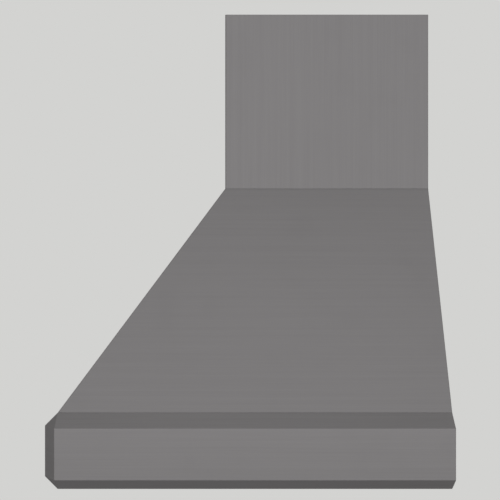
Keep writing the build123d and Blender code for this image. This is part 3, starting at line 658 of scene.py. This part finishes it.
@dataclass(frozen=True)
class Frosted(Finish):
    """Frosted lamp glass with a fine prism texture."""

    metallic: float = 0.0
    dark: float = 0.94
    light: float = 1.02
    prism_scale: float = 900.0
    haze_scale: float = 60.0
    gloss_swing: float = 0.12
    depth: float = 0.0003
    clearness: float = 0.7
    bending: float = 1.49

    def paint(self, tree: Tree) -> None:
        """Let light through and add prisms to gloss and relief.

        Args:
            tree: The material's nodes.
        """
        edge, _ = tree.cells(self.prism_scale)
        haze = tree.noise(self.haze_scale)
        tree.feed(
            Base_Color=self.tones(tree, haze),
            Roughness=self.gloss(haze, self.gloss_swing),
            Normal=tree.bump(edge, self.depth),
            Transmission_Weight=self.clearness,
            IOR=self.bending,
        )


@dataclass(frozen=True)
class Board(Finish):
    """The lamps' light board: white lacquer with a field of yellow emitters."""

    metallic: float = 0.0
    emitter: Colour = (0.78, 0.58, 0.14)
    emitter_scale: float = 420.0
    emitter_ramp: tuple[float, float] = (0.28, 0.42)
    emitter_swing: float = 0.3
    lacquer_scale: float = 300.0
    gloss_swing: float = 0.15
    depth: float = 0.0001

    def paint(self, tree: Tree) -> None:
        """Add the emitters.

        Args:
            tree: The material's nodes.
        """
        edge, chance = tree.cells(self.emitter_scale)
        dots = 1.0 - edge.eased(*self.emitter_ramp)
        strength = chance * self.emitter_swing + (1.0 - self.emitter_swing)
        tree.feed(
            Base_Color=tree.mixed(dots * strength, self.colour, self.emitter),
            Roughness=self.gloss(tree.noise(self.lacquer_scale, detail=2.0), self.gloss_swing),
            Normal=tree.bump(dots, self.depth),
        )


@dataclass
class Wardrobe:
    """Every finish of the hood, each made once."""

    made: dict[str, bpy.types.Material] = field(default_factory=dict)

    def put(self, finish: Finish, slot: str, *nodes: str) -> None:
        """Give CAD nodes a finish.

        Args:
            finish: The finish.
            slot: The record's material slot that the finish belongs to; not used.
            nodes: The nodes' names.
        """
        material = self.material(finish)
        for name in nodes:
            node = frame["nodes"][name]
            if not node.material_slots:
                node.data.materials.append(material)
            for material_slot in node.material_slots:
                material_slot.material = material
            log.info("node %s wears %s", name, finish.name)

    def material(self, finish: Finish) -> bpy.types.Material:
        """Give a finish's material, made when first asked for.

        Args:
            finish: The finish.

        Returns:
            The material.
        """
        if finish.name not in self.made:
            self.made[finish.name] = finish.build()
        return self.made[finish.name]


# Finishes that several sub-assemblies share, and the colour that the shell's steels start from. Lighter and
# darker copies of it carry painted light and shade on the shell and liner
STEEL: Colour = (0.167, 0.1613, 0.164)
GALVANISED = Spangled("galvanised_sheet", (0.42, 0.43, 0.44), 0.42)
ZINC = Bright("zinc_plate", (0.5, 0.5, 0.47), 0.34, stretch=(90.0, 90.0, 90.0))
SPRING = Bright("spring_strip", (0.27, 0.27, 0.28), 0.3, stretch=(300.0, 30.0, 30.0))
CHROME = Bright("polished_rod", (0.56, 0.56, 0.57), 0.16, stretch=(40.0, 300.0, 300.0))
BLACK_PLASTIC = Coated("black_moulding", (0.022, 0.022, 0.023), 0.46)


def lathe(outline: Outline, segments: int) -> bmesh.types.BMesh:
    """Turn an outline about Z.

    Args:
        outline: Points of radius and height, in metres, from the axis out and back to the axis.
        segments: How many sides the turned form has.

    Returns:
        The turned mesh, closed.
    """
    mesh = bmesh.new()
    rings = []
    for radius, height in outline:
        if radius == 0:
            rings.append([mesh.verts.new((0, 0, height))] * segments)
            continue
        angles = [math.tau * index / segments for index in range(segments)]
        rings.append([mesh.verts.new((radius * math.cos(a), radius * math.sin(a), height)) for a in angles])
    for lower, upper in zip(rings, rings[1:]):
        for index in range(segments):
            after = (index + 1) % segments
            corners = [lower[index], lower[after], upper[after], upper[index]]
            unique = list(dict.fromkeys(corners))
            if len(unique) > 2:
                mesh.faces.new(unique)
    bmesh.ops.recalc_face_normals(mesh, faces=mesh.faces)
    return mesh


@dataclass(frozen=True)
class HeadShape:
    """The kind and sizes of a small fastener's head, in metres, and the outlines as shares of them."""

    kind: Head
    radius: float
    height: float
    sides: int = 24
    hexagon_sides: int = 6
    rivet: Outline = (
        (0.0, 0.0), (1.0, 0.0), (1.0, 0.28), (0.9, 0.6), (0.68, 0.88),
        (0.42, 1.0), (0.34, 0.94), (0.3, 0.5), (0.0, 0.44),
    )
    washer: Outline = ((0.0, 0.0), (1.0, 0.0), (1.0, 0.2), (0.82, 0.34), (0.0, 0.34))
    hexagon: Outline = (
        (0.0, 0.3), (0.7, 0.3), (0.7, 0.92), (0.6, 1.0), (0.38, 1.0), (0.32, 0.86), (0.0, 0.84),
    )

    def turned(self, outline: Outline, segments: int) -> bpy.types.Mesh:
        """Turn one of the outlines at this head's size.

        Args:
            outline: The outline.
            segments: How many sides the turned form has.

        Returns:
            The mesh.
        """
        form = lathe(tuple((wide * self.radius, tall * self.height) for wide, tall in outline), segments)
        mesh = bpy.data.meshes.new("turned")
        form.to_mesh(mesh)
        form.free()
        return mesh

    def mesh(self) -> bpy.types.Mesh:
        """Make the head's mesh, standing on Z = 0.

        Returns:
            The mesh.
        """
        if self.kind is Head.BLIND_RIVET:
            turned = [self.turned(self.rivet, self.sides)]
        else:
            turned = [
                self.turned(self.washer, self.sides),
                self.turned(self.hexagon, self.hexagon_sides),
            ]
        form = bmesh.new()
        for part in turned:
            form.from_mesh(part)
            bpy.data.meshes.remove(part)
        mesh = bpy.data.meshes.new(self.kind.value)
        form.to_mesh(mesh)
        form.free()
        return mesh


@dataclass
class FastenerField:
    """Small heads of one kind, spread over given points by Geometry Nodes and kept as one plain mesh."""

    name: str
    shape: HeadShape
    seed: int
    body: str = "hood"
    slot: str = "zinc_fasteners"
    finish: Finish = ZINC
    scale: float = 1.0

    def group(self) -> bpy.types.NodeTree:
        """Make the node group that stands a head on each point, turned at random about its own axis.

        Returns:
            The node group.
        """
        tree = bpy.data.node_groups.new(self.name + "_spread", "GeometryNodeTree")
        sockets = {
            "Points": "NodeSocketGeometry",
            "Head": "NodeSocketObject",
            "Scale": "NodeSocketFloat",
            "Finish": "NodeSocketMaterial",
            "Seed": "NodeSocketInt",
        }
        for label, kind in sockets.items():
            tree.interface.new_socket(label, in_out="INPUT", socket_type=kind)
        tree.interface.new_socket("Heads", in_out="OUTPUT", socket_type="NodeSocketGeometry")
        bench = Bench(tree)
        entry = bench.node("NodeGroupInput").outputs
        facing = bench.node(
            "GeometryNodeInputNamedAttribute",
            {"data_type": "FLOAT_VECTOR"},
            {"Name": "facing"},
        )
        way = bench.node(
            "FunctionNodeAlignRotationToVector",
            {"axis": "Z"},
            {"Vector": live(facing.outputs, "Attribute")},
        )
        chance = bench.node(
            "FunctionNodeRandomValue",
            {"data_type": "FLOAT"},
            {"Min": 0.0, "Max": math.tau, "Seed": entry["Seed"]},
        )
        spin = bench.node(
            "FunctionNodeAxisAngleToRotation",
            None,
            {"Axis": (0, 0, 1), "Angle": live(chance.outputs, "Value")},
        )
        turn = bench.node(
            "FunctionNodeRotateRotation",
            {"rotation_space": "LOCAL"},
            {"Rotation": way.outputs[0], "Rotate By": spin.outputs[0]},
        )
        head = bench.node("GeometryNodeObjectInfo", None, {"Object": entry["Head"]})
        heads = bench.node(
            "GeometryNodeInstanceOnPoints",
            None,
            {
                "Points": entry["Points"],
                "Instance": head.outputs["Geometry"],
                "Rotation": turn.outputs[0],
                "Scale": entry["Scale"],
            },
        )
        plain = bench.node("GeometryNodeRealizeInstances", None, {0: heads.outputs[0]})
        worn = bench.node(
            "GeometryNodeSetMaterial", None, {"Geometry": plain.outputs[0], "Material": entry["Finish"]}
        )
        bench.node("NodeGroupOutput", None, {0: worn.outputs[0]})
        return tree

    def build(self, wardrobe: Wardrobe, places: Sequence[tuple[Point, Point]]) -> bpy.types.Object:
        """Stand the heads on their points and make the result a plain piece that rides on its body.

        Args:
            wardrobe: Where the finish is made.
            places: Each head's foot and the way that it faces.

        Returns:
            The piece.
        """
        scene = bpy.context.scene
        points = bpy.data.meshes.new(self.name + "_points")
        points.from_pydata([place for place, _ in places], [], [])
        facing = points.attributes.new("facing", "FLOAT_VECTOR", "POINT")
        facing.data.foreach_set("vector", [number for _, way in places for number in way])
        carrier = bpy.data.objects.new(self.name + "_carrier", points)
        head = bpy.data.objects.new(self.shape.kind.value, self.shape.mesh())
        for helper in (carrier, head):
            scene.collection.objects.link(helper)
        tree = self.group()
        worn = wardrobe.material(self.finish)
        values = {"Head": head, "Scale": self.scale, "Finish": worn, "Seed": self.seed}
        modifier = carrier.modifiers.new("spread", "NODES")
        modifier.node_group = tree
        for item in tree.interface.items_tree:
            if item.in_out == "INPUT" and item.name in values:
                modifier[item.identifier] = values[item.name]
        graph = bpy.context.evaluated_depsgraph_get()
        mesh = bpy.data.meshes.new_from_object(carrier.evaluated_get(graph))
        mesh.name = self.name
        for helper in (carrier, head):
            bpy.data.objects.remove(helper)
        piece = bpy.data.objects.new(self.name, mesh)
        scene.collection.objects.link(piece)
        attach(piece, self.body)
        log.info("piece %s: %d heads, %d faces", self.name, len(places), len(mesh.polygons))
        return piece


# The two heads that the hood's small fasteners have
HEX_SCREW = HeadShape(Head.HEX_SCREW, radius=0.0034, height=0.003)
RIVET = HeadShape(Head.BLIND_RIVET, radius=0.0033, height=0.0013)


def joint_of(name: str) -> dict[str, Sequence[float]]:
    """Give one of the frame's joints by its name."""
    return next(joint for joint in frame["joints"] if joint["name"] == name)


@dataclass
class Shell:
    """The bevelled band, the sloped canopy and the duct cover in painted light and shade, and what holds
    them to the wall.
    """

    # painted light and shade: one steel lightened for the band and darkened for the canopy and cover, for
    # how light falls on each face
    band: Brushed = Brushed("band_steel_painted_light", shade(STEEL, 1.05), 0.42, 0.88, grain=Grain.LEVEL)
    canopy: Brushed = Brushed("canopy_steel_painted_shade", shade(STEEL, 0.92), 0.43, 0.88, grain=Grain.LEVEL)
    cover: Brushed = Brushed("cover_steel_painted_shade", shade(STEEL, 0.965), 0.42, 0.88, grain=Grain.UPRIGHT)
    flange_inset: float = 0.0074
    side_places: tuple[float, ...] = (-0.06, -0.115, -0.23, -0.285)
    front_places: tuple[float, ...] = (-0.15, -0.05, 0.05, 0.15)

    def dress(self, wardrobe: Wardrobe) -> None:
        """Put on the sheet finishes and the screws of the canopy's top flange.

        Args:
            wardrobe: Where finishes are made.
        """
        wardrobe.put(self.band, "shell_steel", "skirt_band")
        wardrobe.put(
            self.canopy, "shell_steel", "canopy_front_panel", "canopy_right_panel", "canopy_left_panel"
        )
        wardrobe.put(self.cover, "shell_steel", "duct_cover")
        wardrobe.put(
            GALVANISED, "galvanised_steel",
            "back_panel", "mount_straps", "top_plate", "cover_clips", "cover_bracket",
        )
        low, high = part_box("duct_cover")
        front = low.y + self.flange_inset
        up = (0.0, 0.0, 1.0)
        places = [((x, front, low.z), up) for x in self.front_places]
        for x in (low.x + self.flange_inset, high.x - self.flange_inset):
            places += [((x, y, low.z), up) for y in self.side_places]
        FastenerField("flange_screws", HEX_SCREW, seed=3).build(wardrobe, places)


@dataclass
class Liner:
    """The folded walls inside the rim, the panel for lamps and knobs, the grease tray and their springs, in
    steel with painted light.
    """

    # painted light: the shell's steel lightened 1.75 to 1.9 times so the dimly lit underside reads brighter
    panel: Brushed = Brushed(
        "panel_steel_painted_light", shade(STEEL, 1.75), 0.36, 0.95, grain=Grain.ACROSS, edge_tint=1.0
    )
    walls: Brushed = Brushed(
        "liner_sheet_painted_light", shade(STEEL, 1.75), 0.38, 0.95, grain=Grain.FRONT_TO_BACK, edge_tint=1.0
    )
    tray: Brushed = Brushed(
        "tray_steel_painted_light", shade(STEEL, 1.9), 0.33, 0.95, grain=Grain.ACROSS, edge_tint=1.0
    )
    rivet_height: float = 0.0125
    rivet_places: tuple[float, ...] = (-0.445, -0.495, -0.545)

    def dress(self, wardrobe: Wardrobe) -> None:
        """Put on the finishes and the rivets at the front of the side walls.

        Args:
            wardrobe: Where finishes are made.
        """
        wardrobe.put(self.panel, "liner_steel", "control_panel")
        wardrobe.put(
            self.walls, "liner_steel", "liner_right", "liner_left", "filter_divider", "rear_channel"
        )
        wardrobe.put(self.tray, "liner_steel", "grease_tray")
        wardrobe.put(SPRING, "spring_steel", "filter_catches", "tray_clips")
        places = []
        for x, inward in ((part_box("liner_left")[1].x, 1.0), (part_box("liner_right")[0].x, -1.0)):
            places += [((x, y, self.rivet_height), (inward, 0.0, 0.0)) for y in self.rivet_places]
        FastenerField("liner_rivets", RIVET, seed=5).build(wardrobe, places)


@dataclass
class Filters:
    """The two baffle filters and their folding handles."""

    frames: Brushed = Brushed(
        "filter_frame_steel", (0.40, 0.395, 0.395), 0.3, 0.95, grain=Grain.ACROSS, edge_tint=1.0
    )
    baffles: Brushed = Brushed(
        "baffle_steel", (0.44, 0.435, 0.435), 0.27, 0.95,
        grain=Grain.FRONT_TO_BACK, contrast=0.25, edge_tint=1.0,
    )

    def dress(self, wardrobe: Wardrobe) -> None:
        """Put on the finishes of both filters.

        Args:
            wardrobe: Where finishes are made.
        """
        for side in ("right", "left"):
            wardrobe.put(self.frames, "filter_steel", "filter_frame_" + side)
            wardrobe.put(self.baffles, "filter_steel", "filter_baffles_" + side)
            wardrobe.put(CHROME, "bright_steel", "filter_handle_" + side)


@dataclass
class Blower:
    """The scroll, its wheel and its motor, with the screws round the scroll's rims.

    The scroll's outline is three quarter arcs, each one step wider, about corners of a small square round
    the wheel's axis, and then the straight walls of its outlet.
    """

    wheel: Spangled = Spangled("wheel_sheet", (0.4, 0.41, 0.42), 0.36, cells=150.0)
    motor: Coated = Coated("motor_enamel", (0.02, 0.021, 0.024), 0.38, pebble_scale=900.0)
    can: Bright = Bright("drawn_can", (0.52, 0.52, 0.53), 0.3, stretch=(300.0, 20.0, 300.0))
    half_step: float = 0.0085
    first_radius: float = 0.1215
    step: float = 0.017
    outlet_width: float = 0.14
    rim: float = 0.0046
    arc_angles: tuple[tuple[float, ...], ...] = (
        (18.0, 56.0, 92.0),
        (285.0, 315.0, 345.0),
        (195.0, 225.0, 255.0),
    )
    left_heights: tuple[float, ...] = (0.05, 0.1, 0.145)
    right_heights: tuple[float, ...] = (0.142,)

    def rim_points(self) -> list[tuple[float, float]]:
        """Give the screws' places round the scroll, from the wheel's axis.

        Returns:
            Points across and up, in metres.
        """
        half = self.half_step
        centres = ((half, -half), (-half, -half), (-half, half))
        points = []
        for index, angles in enumerate(self.arc_angles):
            reach = self.first_radius + index * self.step + self.rim
            for degrees in angles:
                angle = math.radians(degrees)
                x, z = centres[index]
                points.append((x + reach * math.cos(angle), z + reach * math.sin(angle)))
        left = -half - self.first_radius - 2 * self.step
        points += [(left - self.rim, height) for height in self.left_heights]
        points += [(left + self.outlet_width + self.rim, height) for height in self.right_heights]
        return points

    def dress(self, wardrobe: Wardrobe) -> None:
        """Put on the finishes and the rim screws of both side plates.

        Args:
            wardrobe: Where finishes are made.
        """
        wardrobe.put(
            GALVANISED, "galvanised_steel",
            "scroll_wrapper", "scroll_front_plate", "scroll_rear_plate", "inlet_rings", "capacitor_strap",
        )
        wardrobe.put(self.wheel, "galvanised_steel", "wheel_blades", "wheel_rings", "wheel_disc")
        wardrobe.put(self.motor, "motor_paint", "motor_case", "motor_spider")
        wardrobe.put(self.can, "can_aluminium", "capacitor")
        wardrobe.put(CHROME, "bright_steel", "motor_shaft")
        wardrobe.put(ZINC, "zinc_fasteners", "spider_screws")
        axis_x, _, axis_z = joint_of("impeller_spin")["pos_m"]
        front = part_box("scroll_front_plate")[0].y
        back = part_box("scroll_rear_plate")[1].y
        places = []
        for x, z in self.rim_points():
            places.append(((axis_x + x, front, axis_z + z), (0.0, -1.0, 0.0)))
            places.append(((axis_x + x, back, axis_z + z), (0.0, 1.0, 0.0)))
        FastenerField("scroll_screws", HEX_SCREW, seed=7).build(wardrobe, places)


@dataclass
class Outlet:
    """The outlet's gasket and flange, the duct collar and the damper."""

    gasket: Coated = Coated("gasket_foam", (0.02, 0.02, 0.02), 0.85, pebble_scale=2200.0, depth=0.0002)
    flaps: Brushed = Brushed("damper_sheet", (0.42, 0.43, 0.44), 0.4, 0.95, grain=Grain.FRONT_TO_BACK)

    def dress(self, wardrobe: Wardrobe) -> None:
        """Put on the finishes.

        Args:
            wardrobe: Where finishes are made.
        """
        wardrobe.put(self.gasket, "gasket_rubber", "outlet_gasket")
        wardrobe.put(
            GALVANISED, "galvanised_steel", "outlet_flange", "duct_collar", "collar_flange", "damper_stops"
        )
        wardrobe.put(self.flaps, "galvanised_steel", "damper_flap_right", "damper_flap_left")
        wardrobe.put(CHROME, "bright_steel", "damper_rod")
        wardrobe.put(ZINC, "zinc_fasteners", "collar_bolts")


@dataclass
class Supply:
    """The supply box under the top plate."""

    sheet: Spangled = GALVANISED
    screws: Bright = ZINC

    def dress(self, wardrobe: Wardrobe) -> None:
        """Put on the finishes.

        Args:
            wardrobe: Where finishes are made.
        """
        wardrobe.put(self.sheet, "galvanised_steel", "supply_box", "supply_cover")
        wardrobe.put(self.screws, "zinc_fasteners", "supply_screws")


@dataclass
class Controls:
    """The fan knob and the light knob with their shafts and switches."""

    colour: Colour = (0.34, 0.335, 0.335)
    roughness: float = 0.32

    def dress(self, wardrobe: Wardrobe) -> None:
        """Put on the finishes, each knob with rings about its own axis.

        Args:
            wardrobe: Where finishes are made.
        """
        for name in ("fan", "light"):
            turn = joint_of(name + "_knob_turn")
            knob = Turned(
                name + "_knob_metal", self.colour, self.roughness,
                centre=tuple(turn["pos_m"]), axis=tuple(turn["axis"]),
            )
            wardrobe.put(knob, "knob_metal", name + "_knob")
            wardrobe.put(CHROME, "bright_steel", name + "_shaft")
        wardrobe.put(BLACK_PLASTIC, "black_plastic", "rotary_switches")
        wardrobe.put(ZINC, "zinc_fasteners", "switch_nuts")


@dataclass
class Lamps:
    """The two lamps and their driver."""

    housing: Bright = Bright("lamp_cup", (0.5, 0.5, 0.51), 0.32, stretch=(60.0, 60.0, 300.0))
    lens: Frosted = Frosted("lamp_glass", (0.86, 0.86, 0.84), 0.34)
    board: Board = Board("lamp_board", (0.72, 0.72, 0.69), 0.5)

    def dress(self, wardrobe: Wardrobe) -> None:
        """Put on the finishes.

        Args:
            wardrobe: Where finishes are made.
        """
        wardrobe.put(self.housing, "can_aluminium", "lamp_housings")
        wardrobe.put(CHROME, "bright_steel", "lamp_trims")
        wardrobe.put(self.lens, "lens_glass", "lamp_lenses")
        wardrobe.put(self.board, "led_board", "lamp_modules")
        wardrobe.put(BLACK_PLASTIC, "black_plastic", "lamp_driver")


@dataclass(frozen=True)
class SoftLight:
    """A square soft light, with its side in metres and its power in watts."""

    name: str
    place: Point
    aim: Point
    size: float
    power: float

    def hang(self) -> None:
        """Put the light into the scene, facing its aim."""
        data = bpy.data.lights.new(self.name, "AREA")
        data.shape = "SQUARE"
        data.size = self.size
        data.energy = self.power
        lamp = bpy.data.objects.new(self.name, data)
        lamp.location = self.place
        lamp.rotation_euler = (Vector(self.aim) - Vector(self.place)).to_track_quat("-Z", "Y").to_euler()
        bpy.context.scene.collection.objects.link(lamp)


@dataclass
class Studio:
    """The camera at the photo's place, soft light and a plain pale floor."""

    camera_place: Point = (1.400, -0.3036, 0.3567)
    lens: float = 49.9
    sensor: float = 36.0
    shift: tuple[float, float] = (0.0009, 0.0015)
    paper: Colour = (0.651, 0.651, 0.638)
    fibre_scale: float = 240.0
    fibre_swing: float = 0.01
    paper_roughness: float = 0.9
    floor_place: Point = (0.0, -0.3, -1.1)
    floor_radius: float = 2.5
    floor_sides: int = 96
    floor_fade: tuple[float, float] = (0.45, 0.95)
    shadow_share: float = 0.1
    world_level: float = 0.5
    lights: tuple[SoftLight, ...] = (
        SoftLight("key_light", (2.4, -0.3, 1.3), (0.0, -0.3, 1.3), 4.5, 54.0),
        SoftLight("top_light", (0.2, -0.4, 3.6), (0.0, -0.3, 0.36), 2.4, 4.5),
        SoftLight("front_light", (1.6, -3.0, 0.6), (0.0, -0.3, 0.36), 2.0, 7.0),
        SoftLight("left_light", (-2.6, -0.1, 0.5), (0.0, -0.1, 0.5), 3.6, 36.0),
        SoftLight("back_light", (-0.9, 2.8, 1.6), (0.0, -0.2, 0.4), 2.0, 9.0),
    )

    def set_camera(self) -> None:
        """Stand the camera square to the hood's right side, level."""
        data = bpy.data.cameras.new("photo_camera")
        data.lens = self.lens
        data.sensor_width = self.sensor
        data.shift_x, data.shift_y = self.shift
        camera = bpy.data.objects.new("photo_camera", data)
        camera.location = self.camera_place
        camera.rotation_euler = (math.radians(90), 0, math.radians(90))
        bpy.context.scene.collection.objects.link(camera)
        bpy.context.scene.camera = camera

    def set_world(self) -> None:
        """Show the pale paper colour to camera, mirror and glass, and a plain grey light to the rest."""
        world = bpy.data.worlds.new("studio")
        bpy.context.scene.world = world
        world.use_nodes = True
        bench = Bench(world.node_tree)
        plain = {"Color": (1.0, 1.0, 1.0, 1.0), "Strength": self.world_level}
        light = bench.node("ShaderNodeBackground", None, plain)
        paper = bench.node("ShaderNodeBackground", None, {"Color": (*self.paper, 1.0)})
        mix = bench.node(
            "ShaderNodeMixShader", None, {0: bench.shown(), 1: light.outputs[0], 2: paper.outputs[0]}
        )
        bench.node("ShaderNodeOutputWorld", None, {"Surface": mix.outputs[0]})

    def paper_material(self) -> bpy.types.Material:
        """Make the floor's paper, which keeps a soft shadow, fades at the rim and is clear from below.

        Returns:
            The material.
        """
        tree = Tree("floor_paper")
        dark = shade(self.paper, 1.0 - self.fibre_swing)
        light = shade(self.paper, 1.0 + self.fibre_swing)
        fibres = tree.mixed(tree.noise(self.fibre_scale), dark, light)
        tree.feed(Base_Color=fibres, Roughness=self.paper_roughness)
        glow = tree.node("ShaderNodeEmission", None, {"Color": (*self.paper, 1.0)})
        paper = tree.node(
            "ShaderNodeMixShader", None,
            {0: tree.shown() * (1.0 - self.shadow_share), 1: tree.shader.outputs[0], 2: glow.outputs[0]},
        )
        below = tree.wire(tree.node("ShaderNodeNewGeometry"), "Backfacing")
        reach = tree.radius((0.0, 0.0, 0.0), (0.0, 0.0, 1.0)) * (1.0 / self.floor_radius)
        clear = tree.node("ShaderNodeBsdfTransparent")
        floor = tree.node(
            "ShaderNodeMixShader", None,
            {0: below | reach.eased(*self.floor_fade), 1: paper.outputs[0], 2: clear.outputs[0]},
        )
        tree.join(tree.output.inputs["Surface"], floor.outputs[0])
        return tree.material

    def set_floor(self) -> None:
        """Lay the round pale floor under the hood."""
        form = bmesh.new()
        bmesh.ops.create_circle(form, cap_ends=True, radius=self.floor_radius, segments=self.floor_sides)
        mesh = bpy.data.meshes.new("studio_floor")
        form.to_mesh(mesh)
        form.free()
        floor = bpy.data.objects.new("studio_floor", mesh)
        floor.location = self.floor_place
        bpy.context.scene.collection.objects.link(floor)
        mesh.materials.append(self.paper_material())

    def build(self) -> None:
        """Set up the whole studio."""
        self.set_camera()
        self.set_world()
        self.set_floor()
        for light in self.lights:
            light.hang()
        bpy.context.scene.view_settings.view_transform = "Standard"


def corners(box: tuple[Vector, Vector]) -> list[list[float]]:
    """Turn a box into plain numbers.

    Args:
        box: Its lowest and highest corner.

    Returns:
        The two corners as lists.
    """
    return [[round(number, 6) for number in corner] for corner in box]


def main() -> None:
    """Dress every sub-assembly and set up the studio."""
    logging.basicConfig(level=logging.INFO, format="%(message)s")
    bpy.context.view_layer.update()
    wardrobe = Wardrobe()
    for assembly in (Shell(), Liner(), Filters(), Blower(), Outlet(), Supply(), Controls(), Lamps()):
        assembly.dress(wardrobe)
    Studio().build()


if __name__ == "__main__":
    main()
